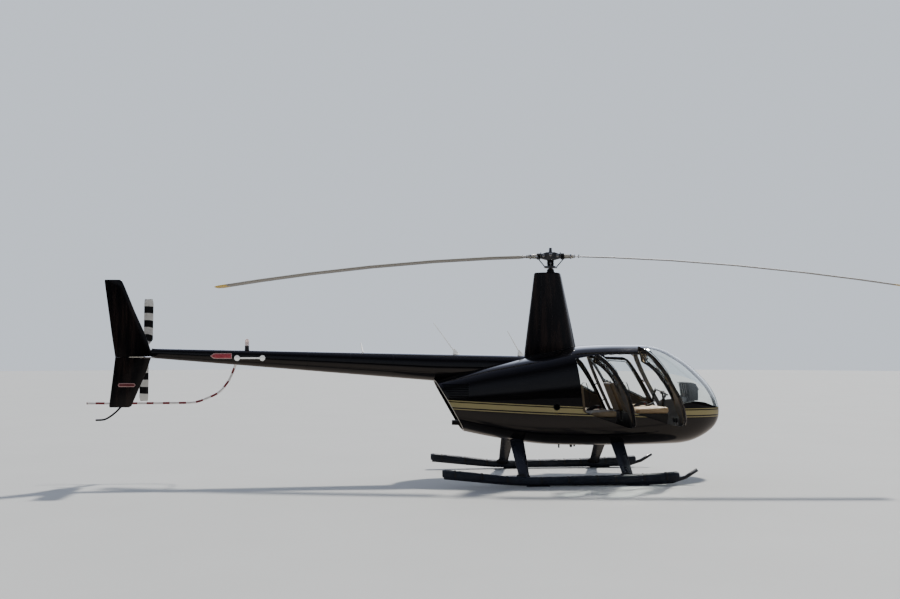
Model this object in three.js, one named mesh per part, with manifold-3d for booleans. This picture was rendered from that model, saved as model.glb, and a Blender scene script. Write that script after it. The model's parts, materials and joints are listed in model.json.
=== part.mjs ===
// Light four-seat helicopter with a two-blade rotor, standing on skids that carry stowed floats.
// Millimetres. X runs forward from the rotor mast, Y to port, and Z up from the ground.
import * as THREE from "three";
import { mergeVertices } from "three/addons/utils/BufferGeometryUtils.js";
import Module from "manifold-3d";

const wasm = await Module();
wasm.setup();

// Where the finished group's origin lies: the middle of the whole machine's footprint.
const ORIGIN_X = -871.7;
const ORIGIN_Y = -55.4;

const TOUCH = 0.3;
const DEGREE = Math.PI / 180;
const SIDES = [["right", -1], ["left", 1]];

// Walls
const SHELL_WALL = 34;
const TUB_WALL = 40;
const COWL_WALL = 18;
const DOOR_WALL = 38;
const DOOR_LIP = 14;
const PANE = 6;
const FLOOR_Z = 620;
const BULKHEAD = { aft: 4, fore: 22 };

// Side view lines of the cabin, each a place along X that slides forward as Z goes down.
const LEAN_TOP_Z = 1800;
const FRONT_POST = { x: 1375, slope: 0.525, width: 62 };
const MIDDLE_POST = { x: 665, slope: 0.455, halfWidth: 25 };
const COWL_SEAM = { x: 234, slope: 0.1186 };

// Doors
const DOOR_GAP = 11;
const DOOR_STEP = 20;
const WINDOW_BULGE = 22;
const DOOR_OPEN = { right: { front: 79, rear: 86 }, left: { front: 34, rear: 34 } };

// Rotors
const ROTOR_RADIUS = 5150;
const ROTOR_AZIMUTH = -10 * DEGREE;
const ROTOR_HUB_Z = 3280;
const ROTOR_TEETER = -0.004;
const BLADE_DROP = 456;
const DROOP_POWER = 1.8;
const BLADE_ROOT = 330;
const MAST_RADIUS = 32;
const MAST_CLEARANCE = 8;
const TAIL_ROTOR = { x: -5980, y: 330, z: 1876, radius: 750, azimuth: 0 };

// Landing gear
const SKID_Y = 1090;
const SKID_TUBE = 26;
const SKID_AXIS_Z = 37;
const SHOE = { x: { front: 995, aft: -400 }, length: 320, width: 50, thickness: 14 };
const GEAR_X = { front: 875, aft: -590 };

const paint = (color, roughness, metalness = 0) =>
  new THREE.MeshStandardMaterial({ color, roughness, metalness });
const BLACK_PAINT = paint(0x0b0c0f, 0.18);
const ROTOR_PAINT = paint(0x23272b, 0.35);
const GLASS = paint(0x9fb0b5, 0.05);
const TAN_LEATHER = paint(0xb79a6c, 0.6);
const DARK_PLASTIC = paint(0x16171a, 0.55);
const STEEL = paint(0x8c9196, 0.35, 1);
const ENGINE_GREY = paint(0x5d6064, 0.5, 1);
const FLOAT_FABRIC = paint(0x10161f, 0.8);
const STRIPED_PAINT = paint(0xb33328, 0.4);
const WHITE_PAINT = paint(0xe4e6e6, 0.4);
const BLADE_PAINT = paint(0x3a4048, 0.4);

// Solids
function solid(geometry) {
  const flat = geometry.index ? geometry.toNonIndexed() : geometry;
  const bare = new THREE.BufferGeometry();
  bare.setAttribute("position", flat.getAttribute("position"));
  const merged = mergeVertices(bare, 1e-3);
  return new wasm.Manifold(
    new wasm.Mesh({
      numProp: 3,
      vertProperties: new Float32Array(merged.attributes.position.array),
      triVerts: new Uint32Array(merged.index.array),
    }),
  );
}

const join = (...parts) => parts.reduce((all, part) => all.add(part));
const cut = (body, ...tools) => tools.reduce((left, tool) => left.subtract(tool), body);
const common = (...parts) => parts.reduce((all, part) => all.intersect(part));

// The largest of the pieces that a cut leaves.
const largest = (body) =>
  body.decompose().reduce((most, part) => (part.volume() > most.volume() ? part : most));

function meshOf(name, body, material) {
  const made = body.getMesh();
  const position = new Float32Array(made.numVert * 3);
  for (let i = 0; i < made.numVert; i++) {
    const from = i * made.numProp;
    position.set(made.vertProperties.subarray(from, from + 3), i * 3);
  }
  const geometry = new THREE.BufferGeometry();
  geometry.setAttribute("position", new THREE.BufferAttribute(position, 3));
  geometry.setIndex(new THREE.BufferAttribute(new Uint32Array(made.triVerts), 1));
  geometry.computeVertexNormals();
  const mesh = new THREE.Mesh(geometry, material);
  mesh.name = name;
  return mesh;
}

function outline(points) {
  return new THREE.Shape(points.map(([a, b]) => new THREE.Vector2(a, b)));
}

// An outline drawn in side view as [x, z], carried through from one Y to another.
function sidePrism(points, yLow, yHigh) {
  const geometry = new THREE.ExtrudeGeometry(outline(points), {
    depth: yHigh - yLow,
    bevelEnabled: false,
  });
  geometry.rotateX(Math.PI / 2);
  geometry.translate(0, yHigh, 0);
  return solid(geometry);
}

// An outline drawn from the front as [y, z], carried through from one X to another.
function frontPrism(points, xLow, xHigh) {
  const geometry = new THREE.ExtrudeGeometry(outline(points), {
    depth: xHigh - xLow,
    bevelEnabled: false,
  });
  const turn = new THREE.Matrix4().makeBasis(
    new THREE.Vector3(0, 1, 0),
    new THREE.Vector3(0, 0, 1),
    new THREE.Vector3(1, 0, 0),
  );
  geometry.applyMatrix4(turn);
  geometry.translate(xLow, 0, 0);
  return solid(geometry);
}

function box(low, high) {
  const size = high.map((value, i) => value - low[i]);
  const geometry = new THREE.BoxGeometry(...size);
  geometry.translate(...low.map((value, i) => value + size[i] / 2));
  return solid(geometry);
}

// A round bar between two points, tapered when the two radii differ.
function bar(from, to, radius, endRadius = radius, sides = 16) {
  const start = new THREE.Vector3(...from);
  const along = new THREE.Vector3(...to).sub(start);
  const geometry = new THREE.CylinderGeometry(endRadius, radius, along.length(), sides);
  geometry.translate(0, along.length() / 2, 0);
  const turn = new THREE.Quaternion().setFromUnitVectors(
    new THREE.Vector3(0, 1, 0),
    along.clone().normalize(),
  );
  geometry.applyQuaternion(turn);
  geometry.translate(start.x, start.y, start.z);
  return solid(geometry);
}

// A round tube that follows a smooth line through points.
function bentTube(points, radius, sides, steps) {
  const path = new THREE.CatmullRomCurve3(
    points.map((point) => new THREE.Vector3(...point)),
    false,
    "centripetal",
  );
  const ring = new THREE.Shape();
  ring.absarc(0, 0, radius, 0, 2 * Math.PI, false);
  const geometry = new THREE.ExtrudeGeometry(ring, {
    steps,
    extrudePath: path,
    curveSegments: sides / 2,
    bevelEnabled: false,
  });
  return solid(geometry);
}

// A closed body through rings of points, with flat ends.
function loft(rings) {
  const position = [];
  const count = rings[0].length;
  const middle = (ring) =>
    [0, 1, 2].map((i) => ring.reduce((sum, point) => sum + point[i], 0) / count);
  const face = (a, b, c) => position.push(...a, ...b, ...c);
  for (let r = 0; r + 1 < rings.length; r++) {
    for (let i = 0; i < count; i++) {
      const j = (i + 1) % count;
      const [a, b, c, d] = [rings[r][i], rings[r][j], rings[r + 1][j], rings[r + 1][i]];
      face(a, b, c);
      face(a, c, d);
    }
  }
  const first = rings[0];
  const last = rings[rings.length - 1];
  for (let i = 0; i < count; i++) {
    const j = (i + 1) % count;
    face(middle(first), first[j], first[i]);
    face(middle(last), last[i], last[j]);
  }
  const geometry = new THREE.BufferGeometry();
  geometry.setAttribute("position", new THREE.BufferAttribute(new Float32Array(position), 3));
  return solid(geometry);
}

// Body sections: x, z of the belly and roof, half width, z of the widest line,
// and how square the upper and lower halves are (2 is an ellipse).
const HULL_SECTIONS = [
  [-1900, 825, 1410, 385, 1120, 2.4, 2.8],
  [-1400, 704, 1535, 462, 1110, 2.5, 3.3],
  [-1000, 620, 1640, 528, 1105, 2.6, 3.8],
  [-600, 552, 1722, 578, 1100, 2.7, 4.1],
  [-200, 503, 1800, 615, 1100, 2.8, 4.2],
  [100, 488, 1872, 634, 1100, 2.8, 4.2],
  [300, 482, 1918, 641, 1100, 2.8, 4.2],
  [700, 480, 1950, 645, 1100, 2.8, 4.2],
  [1100, 480, 1957, 640, 1095, 2.85, 4.0],
  [1433, 481, 1947, 623, 1080, 2.85, 3.7],
  [1684, 483, 1887, 588, 1060, 2.75, 3.4],
  [1880, 489, 1787, 541, 1035, 2.6, 3.1],
  [2060, 515, 1670, 481, 1015, 2.5, 2.8],
  [2220, 572, 1531, 410, 995, 2.4, 2.6],
  [2350, 640, 1403, 331, 980, 2.3, 2.4],
  [2440, 708, 1283, 259, 970, 2.2, 2.3],
  [2500, 785, 1164, 186, 963, 2.1, 2.2],
  [2535, 860, 1055, 105, 960, 2.05, 2.1],
  [2549, 925, 995, 38, 960, 2, 2],
];
const NOSE_START = 1100;
const NOSE_LENGTH = 1450;
const RING_QUARTER = 8;

// The body's outer form, drawn in by an inset (or swollen by a negative one).
function hull(inset) {
  const rings = HULL_SECTIONS.map(([x, belly, roof, half, widest, upper, lower]) => {
    const ahead = Math.max(0, x - NOSE_START);
    const at = x - (ahead * inset) / NOSE_LENGTH;
    const wide = Math.max(half - inset, 12);
    const ring = [];
    for (let i = 0; i < 4 * RING_QUARTER; i++) {
      const turn = ((i + 0.5) / (4 * RING_QUARTER)) * 2 * Math.PI;
      const [c, s] = [Math.cos(turn), Math.sin(turn)];
      const power = 2 / (s > 0 ? upper : lower);
      const tall = Math.max((s > 0 ? roof - widest : widest - belly) - inset, 12);
      const y = wide * Math.sign(c) * Math.abs(c) ** power;
      const z = widest + tall * Math.sign(s) * Math.abs(s) ** power;
      ring.push([at, y, z]);
    }
    return ring;
  });
  return loft(rings);
}

const leanX = (line, z) => line.x + line.slope * (LEAN_TOP_Z - z);

// Moves each edge of a side view outline inwards; the points run anticlockwise.
function insetOutline(points, distance) {
  return points.map((point, i) => {
    const before = points[(i + points.length - 1) % points.length];
    const after = points[(i + 1) % points.length];
    const [ax, az] = [point[0] - before[0], point[1] - before[1]];
    const [bx, bz] = [after[0] - point[0], after[1] - point[1]];
    const [al, bl] = [Math.hypot(ax, az), Math.hypot(bx, bz)];
    const [nax, naz] = [-az / al, ax / al];
    const [nbx, nbz] = [-bz / bl, bx / bl];
    const scale = distance / (1 + nax * nbx + naz * nbz);
    return [point[0] + scale * (nax + nbx), point[1] + scale * (naz + nbz)];
  });
}

// Door openings and windows in side view, anticlockwise from the upper front corner.
const DOORS = {
  front: {
    opening: [
      [leanX(FRONT_POST, 1770), 1770],
      [leanX(FRONT_POST, 1812) - 38, 1812],
      [leanX(MIDDLE_POST, 1806) + MIDDLE_POST.halfWidth, 1806],
      [leanX(MIDDLE_POST, 975) + MIDDLE_POST.halfWidth, 975],
      [1200, 930],
      [1500, 835],
      [1670, 785],
      [1815, 766],
      [1850, 785],
      [leanX(FRONT_POST, 850), 850],
    ],
    window: [
      [1350, 1742],
      [1310, 1752],
      [795, 1748],
      [775, 1735],
      [925, 1390],
      [950, 1362],
      [1580, 1122],
      [1625, 1120],
      [1640, 1140],
    ],
    hinge: { top: [1524, 607, 1500], foot: [1797, 585, 980], doorReach: 30, postReach: 30 },
    knuckles: [0.2, 0.8],
  },
  rear: {
    opening: [
      [leanX(MIDDLE_POST, 1803) - MIDDLE_POST.halfWidth, 1803],
      [560, 1796],
      [268, 1744],
      [302, 1440],
      [338, 1010],
      [350, 985],
      [600, 890],
      [1020, 750],
      [1075, 752],
      [leanX(MIDDLE_POST, 800) - MIDDLE_POST.halfWidth, 800],
    ],
    window: [
      [588, 1735],
      [560, 1740],
      [345, 1702],
      [333, 1685],
      [362, 1440],
      [378, 1418],
      [800, 1222],
      [835, 1225],
      [836, 1245],
    ],
    hinge: { top: [790, 662, 1530], foot: [1009, 662, 1050], doorReach: 60, postReach: 0 },
    knuckles: [0.1, 0.62],
  },
};

// The rear door's upper aft corner is drawn forward to clear the roof as it swings.
const REAR_CORNER = { point: 2, ease: 6 };

const FAR = 3000;
const sideHalf = (side, inner) =>
  side < 0 ? box([-FAR, -FAR, 0], [FAR, -inner, FAR]) : box([-FAR, inner, 0], [FAR, FAR, FAR]);

const outerHull = hull(0);
const shellWall = cut(outerHull, hull(SHELL_WALL));

// The cabin lies ahead of the seam and the engine cowls lie behind it.
const seamX = (z) => leanX(COWL_SEAM, z);
const cabinZone = sidePrism(
  [[seamX(300) + TOUCH, 300], [FAR, 300], [FAR, 2200], [seamX(2200) + TOUCH, 2200]],
  -FAR,
  FAR,
);
const cowlZone = sidePrism(
  [[-FAR, 300], [seamX(300), 300], [seamX(2200), 2200], [-FAR, 2200]],
  -FAR,
  FAR,
);

// The line between the lower body and the roof with its posts.
const PARTING = [
  [0, 1060],
  [380, 1060],
  [1000, 860],
  [1130, 860],
  [1300, 960],
  [1760, 1000],
  [1830, 1095],
  [2050, 1125],
  [2200, 1108],
  [2350, 1058],
  [FAR, 900],
];
const lift = (points, by) => points.map(([x, z]) => [x, z + by]);
const belowParting = sidePrism([[0, 300], [FAR, 300], ...lift(PARTING, 0).reverse()], -FAR, FAR);
const aboveParting = sidePrism([...lift(PARTING, TOUCH), [FAR, 2300], [0, 2300]], -FAR, FAR);

const screenAftX = (z) => leanX(FRONT_POST, z) + FRONT_POST.width;
const aheadOfPost = (gap) =>
  sidePrism(
    [[screenAftX(700) + gap, 700], [FAR, 700], [FAR, 2300], [screenAftX(2300) + gap, 2300]],
    -FAR,
    FAR,
  );
const BOW_HALF_WIDTH = 22;

function doorOpening(name) {
  return sidePrism(DOORS[name].opening, -FAR, FAR);
}

function cabinTub() {
  const hollow = common(hull(TUB_WALL), box([-FAR, -FAR, FLOOR_Z], [FAR, FAR, FAR]));
  const wall = common(outerHull, cabinZone, belowParting);
  return cut(
    wall,
    hollow,
    doorOpening("front"),
    doorOpening("rear"),
    gearForm(GEAR_X.front, 2 * TOUCH),
    ...lampForms(LAMP.pocketX, 0),
  );
}

// Two round landing lamps low in the nose, on one bar behind the skin.
const LAMP = { y: 80, z: 800, radius: 50, pocketX: 2385, aft: 2360, fore: 2600, recess: 6, bar: 12 };

function lampForms(fromX, shrink) {
  const { y, z, radius, fore } = LAMP;
  return SIDES.map(([, side]) =>
    bar([fromX, side * y, z], [fore, side * y, z], radius - shrink, radius - shrink, 28),
  );
}

function landingLamps() {
  const { y, z, aft, recess } = LAMP;
  const lamps = common(join(...lampForms(aft, TOUCH)), hull(recess));
  const carrier = bar([aft + 20, -y, z], [aft + 20, y, z], LAMP.bar, LAMP.bar, 14);
  return join(lamps, carrier);
}

function cabinRoof() {
  const wall = common(shellWall, cabinZone, aboveParting);
  const besideBow = SIDES.map(([, side]) => sideHalf(side, BOW_HALF_WIDTH));
  const screens = common(aheadOfPost(0), join(...besideBow));
  const shell = cut(wall, screens, doorOpening("front"), doorOpening("rear"));
  const knuckles = SIDES.flatMap(([, side]) => [
    ...hingeKnuckles("front", side, false),
    ...hingeKnuckles("rear", side, false),
  ]);
  return join(shell, ...knuckles);
}

function windshield(side) {
  const skin = cut(outerHull, hull(PANE));
  return common(skin, aboveParting, aheadOfPost(TOUCH), sideHalf(side, BOW_HALF_WIDTH + TOUCH));
}

function rearBulkhead() {
  const plate = sidePrism(
    [
      [seamX(FLOOR_Z) + BULKHEAD.aft, FLOOR_Z + TOUCH],
      [seamX(FLOOR_Z) + BULKHEAD.fore, FLOOR_Z + TOUCH],
      [seamX(2100) + BULKHEAD.fore, 2100],
      [seamX(2100) + BULKHEAD.aft, 2100],
    ],
    -FAR,
    FAR,
  );
  return common(plate, hull(TUB_WALL + TOUCH));
}

// Seats: name, x of the back panel's foot, x of the cushion's front, z of the cushion's base.
const SEATS = [
  { row: "front", back: 1075, backTop: 905, seat: 1180, front: 1640, baseZ: 950, topZ: 1392 },
  { row: "rear", back: 365, backTop: 311, seat: 470, front: 870, baseZ: 900, topZ: 1385 },
];
const SEAT_INNER_Y = 70;
const SEAT_OUTER_Y = 540;
const CUSHION_HEIGHT = 112;
const BACK_THICKNESS = 92;

function seatBase({ back, front, baseZ, row }) {
  const rear = row === "rear" ? seamX(FLOOR_Z) + BULKHEAD.fore + 1 : back - 12;
  const profile = [
    [rear, FLOOR_Z + TOUCH],
    [front - 70, FLOOR_Z + TOUCH],
    [front - 18, baseZ - TOUCH],
    [back - (row === "rear" ? 0 : 12), baseZ - TOUCH],
  ];
  const base = sidePrism(profile, -SEAT_OUTER_Y - 20, SEAT_OUTER_Y + 20);
  const between = box(
    [rear - 50, -SEAT_INNER_Y + 12, baseZ - 130],
    [front + 50, SEAT_INNER_Y - 12, FAR],
  );
  return common(cut(base, between), hull(TUB_WALL + 7));
}

function cushion({ seat, front, baseZ }, side) {
  const profile = [
    [seat, baseZ],
    [front - 22, baseZ],
    [front, baseZ + 40],
    [front - 12, baseZ + CUSHION_HEIGHT - 8],
    [front - 60, baseZ + CUSHION_HEIGHT],
    [seat + 20, baseZ + CUSHION_HEIGHT - 26],
    [seat, baseZ + CUSHION_HEIGHT - 46],
  ];
  const [near, far] = side < 0 ? [-SEAT_OUTER_Y, -SEAT_INNER_Y] : [SEAT_INNER_Y, SEAT_OUTER_Y];
  return sidePrism(profile, near, far);
}

function seatBack({ back, backTop, baseZ, topZ }, side) {
  const profile = [
    [back, baseZ],
    [back + BACK_THICKNESS, baseZ],
    [backTop + BACK_THICKNESS, topZ - 30],
    [backTop + BACK_THICKNESS - 24, topZ],
    [backTop + 24, topZ],
    [backTop, topZ - 24],
  ];
  const [near, far] = side < 0 ? [-SEAT_OUTER_Y, -SEAT_INNER_Y] : [SEAT_INNER_Y, SEAT_OUTER_Y];
  return sidePrism(profile, near + 10, far - 10);
}

// Instrument panel: side outlines of its pedestal and its head, with their half widths.
const PANEL = {
  pedestal: [
    [1965, FLOOR_Z + TOUCH],
    [2130, FLOOR_Z + TOUCH],
    [2150, 900],
    [2160, 1180],
    [2030, 1180],
  ],
  pedestalHalf: 125,
  head: [
    [2050, 1120],
    [2190, 1120],
    [2190, 1290],
    [2140, 1385],
    [2075, 1398],
    [2012, 1392],
  ],
  headHalf: 205,
};

function instrumentPanel() {
  const pedestal = sidePrism(PANEL.pedestal, -PANEL.pedestalHalf, PANEL.pedestalHalf);
  const head = sidePrism(PANEL.head, -PANEL.headHalf, PANEL.headHalf);
  return join(pedestal, head);
}

// Cyclic stick: a post from the floor carries a cross bar, and a grip hangs at each end of it.
const CYCLIC = {
  footX: 1766,
  barX: 1700,
  barZ: 1238,
  barHalf: 255,
  barRadius: 11,
  postRadius: 15,
  gripX: 1640,
  gripY: 250,
  gripTopZ: 1155,
  gripFootZ: 1062,
  gripRadius: 17,
};

function cyclicStick() {
  const { footX, barX, barZ, barHalf, barRadius, postRadius, gripX, gripY, gripRadius } = CYCLIC;
  const sides = 12;
  const post = bar([footX, 0, FLOOR_Z - 10], [barX, 0, barZ - 3], postRadius, postRadius - 2, sides);
  const crossBar = bar([barX, -barHalf, barZ], [barX, barHalf, barZ], barRadius, barRadius, sides);
  const grips = SIDES.map(([, side]) => {
    const y = side * gripY;
    const elbow = [barX, y, barZ + 6];
    const neck = [gripX, y, CYCLIC.gripTopZ - 5];
    const top = [gripX, y, CYCLIC.gripTopZ + 5];
    const foot = [gripX - 8, y, CYCLIC.gripFootZ];
    return join(
      bar(elbow, neck, barRadius + 1, barRadius + 1, sides),
      bar(top, foot, gripRadius, gripRadius - 2, sides),
    );
  });
  const below = box([gripX, -100, 0], [footX + 100, 100, FLOOR_Z + TOUCH]);
  return cut(join(post, crossBar, ...grips), below);
}

// Engine bay. The cowls end in a slanted opening, and the tailcone sits on top of them.
const AFT_EDGE = { bottom: [-1300, 640], top: [-1790, 1490] };
const CONE = { aft: -5830, aftZ: 1827, aftRadius: 70, fore: -1750, foreZ: 1620, foreRadius: 200 };
const CONE_SIDES = 32;
const CONE_WALL = 12;
const SADDLE = { x: -330, z: 1592 };

// The tapered tail tube, and the straight saddle over the cowls that it runs out of.
function tailTube(fromX, toX, grow) {
  const part = (x) => (x - CONE.aft) / (CONE.fore - CONE.aft);
  const point = (x) => [x, 0, CONE.aftZ + part(x) * (CONE.foreZ - CONE.aftZ)];
  const radius = (x) => CONE.aftRadius + part(x) * (CONE.foreRadius - CONE.aftRadius) + grow;
  return bar(point(fromX), point(toX), radius(fromX), radius(toX), CONE_SIDES);
}

function saddleTube(fromX, toX, grow) {
  const part = (x) => (x - CONE.fore) / (SADDLE.x - CONE.fore);
  const at = (x) => CONE.foreZ + part(x) * (SADDLE.z - CONE.foreZ);
  const radius = CONE.foreRadius + grow;
  return bar([fromX, 0, at(fromX)], [toX, 0, at(toX)], radius, radius, CONE_SIDES);
}

const SPIGOT_STEP = 16;
const SPIGOT_X = -1320;
const COWL_TOP_WALL = 14;

// The tailcone is a hollow tube, closed at its aft end and open at the front end of its spigot.
function tailcone() {
  const behind = box([CONE.aft - 100, -FAR, 0], [CONE.aft, FAR, FAR]);
  const ahead = box([CONE.fore, -FAR, 0], [0, FAR, FAR]);
  const cone = cut(tailTube(CONE.aft - 20, CONE.fore + 40, 0), behind, ahead);
  const hollow = join(
    tailTube(CONE.aft + 3 * CONE_WALL, CONE.fore - CONE_WALL, -CONE_WALL),
    saddleTube(CONE.fore - 40, SPIGOT_X + 20, -SPIGOT_STEP - CONE_WALL),
  );
  return cut(join(cone, saddleTube(CONE.fore - 40, SPIGOT_X, -SPIGOT_STEP)), hollow);
}

function tailconeCowl() {
  const behind = box([CONE.fore - 100, -FAR, 0], [CONE.fore + TOUCH, FAR, FAR]);
  const shell = cut(
    saddleTube(CONE.fore - 20, SADDLE.x, 0),
    saddleTube(CONE.fore - 40, SADDLE.x + 40, -COWL_TOP_WALL),
    behind,
  );
  return largest(cut(shell, hull(-TOUCH), mastFairingForm(TOUCH)));
}

// Louvre slots near the cowl's slanted edge, and the round intake on the right.
const LOUVRE = { low: 1170, pitch: 32, tall: 16, count: 7, margin: 60, fore: -1290, inner: 300 };
const INTAKE = { x: -40, z: 1058, radius: 42, inner: 500 };

const aftEdgeX = (z) => {
  const { bottom, top } = AFT_EDGE;
  return bottom[0] + ((z - bottom[1]) / (top[1] - bottom[1])) * (top[0] - bottom[0]);
};

function louvreSlots(side) {
  const { low, pitch, tall, count, margin, fore, inner } = LOUVRE;
  return Array.from({ length: count }, (_, i) => {
    const [foot, head] = [low + i * pitch, low + i * pitch + tall];
    const slot = [
      [aftEdgeX(foot) + margin, foot],
      [fore, foot],
      [fore, head],
      [aftEdgeX(head) + margin, head],
    ];
    return side < 0 ? sidePrism(slot, -FAR, -inner) : sidePrism(slot, inner, FAR);
  });
}

function cowl(side) {
  const skin = common(cut(outerHull, hull(COWL_WALL)), cowlZone, sideHalf(side, TOUCH / 2));
  const { bottom, top } = AFT_EDGE;
  const behind = sidePrism([[-FAR, 300], [bottom[0] + 196, 300], top, [-FAR, 2200]], -FAR, FAR);
  const { x, z, radius, inner } = INTAKE;
  const intake = side < 0 ? [bar([x, -FAR, z], [x, -inner, z], radius, radius, 28)] : [];
  return largest(
    cut(
      skin,
      behind,
      ...louvreSlots(side),
      ...intake,
      tailTube(CONE.fore - 400, CONE.fore + 20, TOUCH),
      saddleTube(CONE.fore - 20, SADDLE.x, TOUCH),
      gearForm(GEAR_X.aft, 2 * TOUCH),
    ),
  );
}

const ENGINE = { aft: -620, y: 400, bottom: 640, top: 1060 };

function engine() {
  const { aft, bottom, top, y } = ENGINE;
  const foreX = (z) => seamX(z) + BULKHEAD.aft - TOUCH;
  return sidePrism([[aft, bottom], [foreX(bottom), bottom], [foreX(top), top], [aft, top]], -y, y);
}

const FAN = { z: 1050, radius: 300, eye: 165, fore: -1060, aft: -1345, shaftZ: 1010, shaft: 45 };
const FAN_WHEEL = { hub: 62, boss: 34, nose: -1325, aft: -1300, fore: -1200, blades: 12, thick: 7 };

// The wheel inside the fan's eye: twelve twisted vanes round a hub.
function fanWheel() {
  const { hub, boss, nose, aft, fore, blades, thick } = FAN_WHEEL;
  const { z, eye } = FAN;
  const vanes = Array.from({ length: blades }, (_, i) => {
    const turn = (i / blades) * 2 * Math.PI;
    const ring = (radius, lean) => {
      const at = (x, across) => [
        x,
        radius * Math.cos(turn) - across * Math.sin(turn),
        z + radius * Math.sin(turn) + across * Math.cos(turn),
      ];
      return [at(aft, -lean - thick), at(aft, -lean), at(fore, lean + thick), at(fore, lean)];
    };
    return loft([ring(hub - 8, 16), ring(eye + 5, 30)]);
  });
  const drum = join(
    bar([nose, 0, z], [aft, 0, z], boss, hub, 24),
    bar([aft - 1, 0, z], [FAN.fore - 30, 0, z], hub, hub, 24),
  );
  return join(drum, ...vanes);
}

function fan() {
  const { z, radius, eye, fore, aft, shaftZ } = FAN;
  const scroll = bar([aft, 0, z], [fore, 0, z], radius, radius, 32);
  const inlet = bar([aft - 10, 0, z], [fore - 40, 0, z], eye, eye, 32);
  const shaft = bar([fore - 60, 0, shaftZ], [ENGINE.aft - TOUCH, 0, shaftZ], FAN.shaft);
  return join(cut(scroll, inlet), fanWheel(), shaft);
}

const EXHAUST = { y: -300, foreZ: 790, aftX: -1515, aftZ: 828, radius: 36 };

function exhaust() {
  const { y, foreZ, aftX, aftZ, radius } = EXHAUST;
  const pipe = bar([ENGINE.aft + 20, y, foreZ], [aftX, y, aftZ], radius);
  return cut(pipe, box([ENGINE.aft - TOUCH, -FAR, 0], [0, FAR, FAR]));
}

// Mast fairing: z, x of the leading and trailing edges, and half width.
const FAIRING_SECTIONS = [
  [1560, 422, -430, 200],
  [1918, 375, -391, 178],
  [2200, 321, -355, 152],
  [2600, 239, -303, 116],
  [3035, 150, -248, 78],
];

function fairingRing([z, lead, trail, half], grow) {
  const length = lead - trail + 2 * grow;
  // Station along the chord and the half width there.
  const shape = [
    [0, 0],
    [0.03, 0.42],
    [0.1, 0.74],
    [0.22, 0.95],
    [0.36, 1],
    [0.6, 0.86],
    [0.82, 0.56],
    [0.97, 0.2],
    [1, 0],
  ];
  const point = (s, w, side) => [lead + grow - s * length, side * w * (half + grow), z];
  const left = shape.map(([s, w]) => point(s, w, 1));
  const right = shape.slice(1, -1).map(([s, w]) => point(s, w, -1)).reverse();
  return [...left, ...right];
}

function mastFairingForm(grow) {
  return loft(FAIRING_SECTIONS.map((section) => fairingRing(section, grow)));
}

const MAST_SEAT_Z = 2860;

function mastFairing() {
  const radius = MAST_RADIUS + MAST_CLEARANCE;
  const well = bar([0, 0, MAST_SEAT_Z], [0, 0, ROTOR_HUB_Z], radius, radius, 20);
  return cut(mastFairingForm(0), hull(-TOUCH), well);
}

// Empennage
const FIN_Y = -55;
const FIN_HALF = 23;

// Section of a fin or stabiliser: place along the chord and half thickness.
const FIN_SECTION = [
  [0, 0.12],
  [0.04, 0.55],
  [0.16, 0.95],
  [0.34, 1],
  [0.7, 0.6],
  [1, 0.1],
];

function finRing(leadX, trailX, z, half) {
  const place = ([s, w], side) => [leadX + s * (trailX - leadX), FIN_Y + side * w * half, z];
  return [
    ...FIN_SECTION.map((row) => place(row, 1)),
    ...[...FIN_SECTION].reverse().map((row) => place(row, -1)),
  ];
}

// Upper fin: z, leading edge x, trailing edge x, half thickness.
const UPPER_FIN = [
  [1772, -5830.5, -6334, 23],
  [1845, -5831, -6346, 23],
  [2085, -5914, -6386, 22],
  [2415, -6065, -6435, 20],
  [2780, -6217, -6490, 16],
  [2862, -6255, -6501, 14],
  [2883, -6285, -6496, 10],
];
const LOWER_FIN = [
  [1054, -6130, -6400, 12],
  [1075, -6095, -6407, 15],
  [1293, -6006, -6384, 18],
  [1555, -5900, -6356, 21],
  [1771.5, -5830.5, -6334, 23],
];

function fin(rows, grow = 0) {
  return loft(rows.map(([z, lead, trail, half]) => finRing(lead, trail, z, half + grow)));
}

// Horizontal stabiliser: y, leading edge x, trailing edge x, half thickness.
const STABILISER = [
  [-755, -5790, -6110, 10],
  [-740, -5765, -6115, 13],
  [FIN_Y - FIN_HALF - TOUCH, -5760, -6115, 15],
];
const STABILISER_Z = 1775;

function stabiliser() {
  const rings = STABILISER.map(([y, lead, trail, half]) => {
    const place = ([s, w], side) => [lead + s * (trail - lead), y, STABILISER_Z + side * w * half];
    return [
      ...FIN_SECTION.map((row) => place(row, -1)),
      ...[...FIN_SECTION].reverse().map((row) => place(row, 1)),
    ];
  });
  return loft(rings);
}

const GEARBOX = { y: 8, foreZ: 1835, aftX: -6035, aftZ: 1872, shaftEnd: 205 };

function tailGearbox() {
  const { y, foreZ, aftX, aftZ, shaftEnd } = GEARBOX;
  const at = (alongY) => [TAIL_ROTOR.x, alongY, TAIL_ROTOR.z];
  const housing = bar([CONE.aft + 20, y, foreZ], [aftX, y, aftZ], 38, 34, 20);
  const drum = bar(at(FIN_Y + FIN_HALF + TOUCH), at(150), 74, 60, 24);
  const neck = bar(at(140), at(shaftEnd), 34, 28, 20);
  const ahead = box([CONE.aft - TOUCH, -FAR, 0], [0, FAR, FAR]);
  return cut(join(housing, drum, neck), ahead);
}

// Tail skid: x and z along its tube, which springs from the foot of the lower fin.
const TAIL_SKID_LINE = [
  [-6236, 1070],
  [-6330, 972],
  [-6456, 888],
  [-6590, 872],
];

function tailSkid() {
  const tube = bentTube(TAIL_SKID_LINE.map(([x, z]) => [x, FIN_Y, z]), 11, 8, 10);
  const above = box([-6600, FIN_Y - 50, LOWER_FIN[0][0] - TOUCH], [-6000, FIN_Y + 50, 1200]);
  return cut(tube, above);
}

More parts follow.
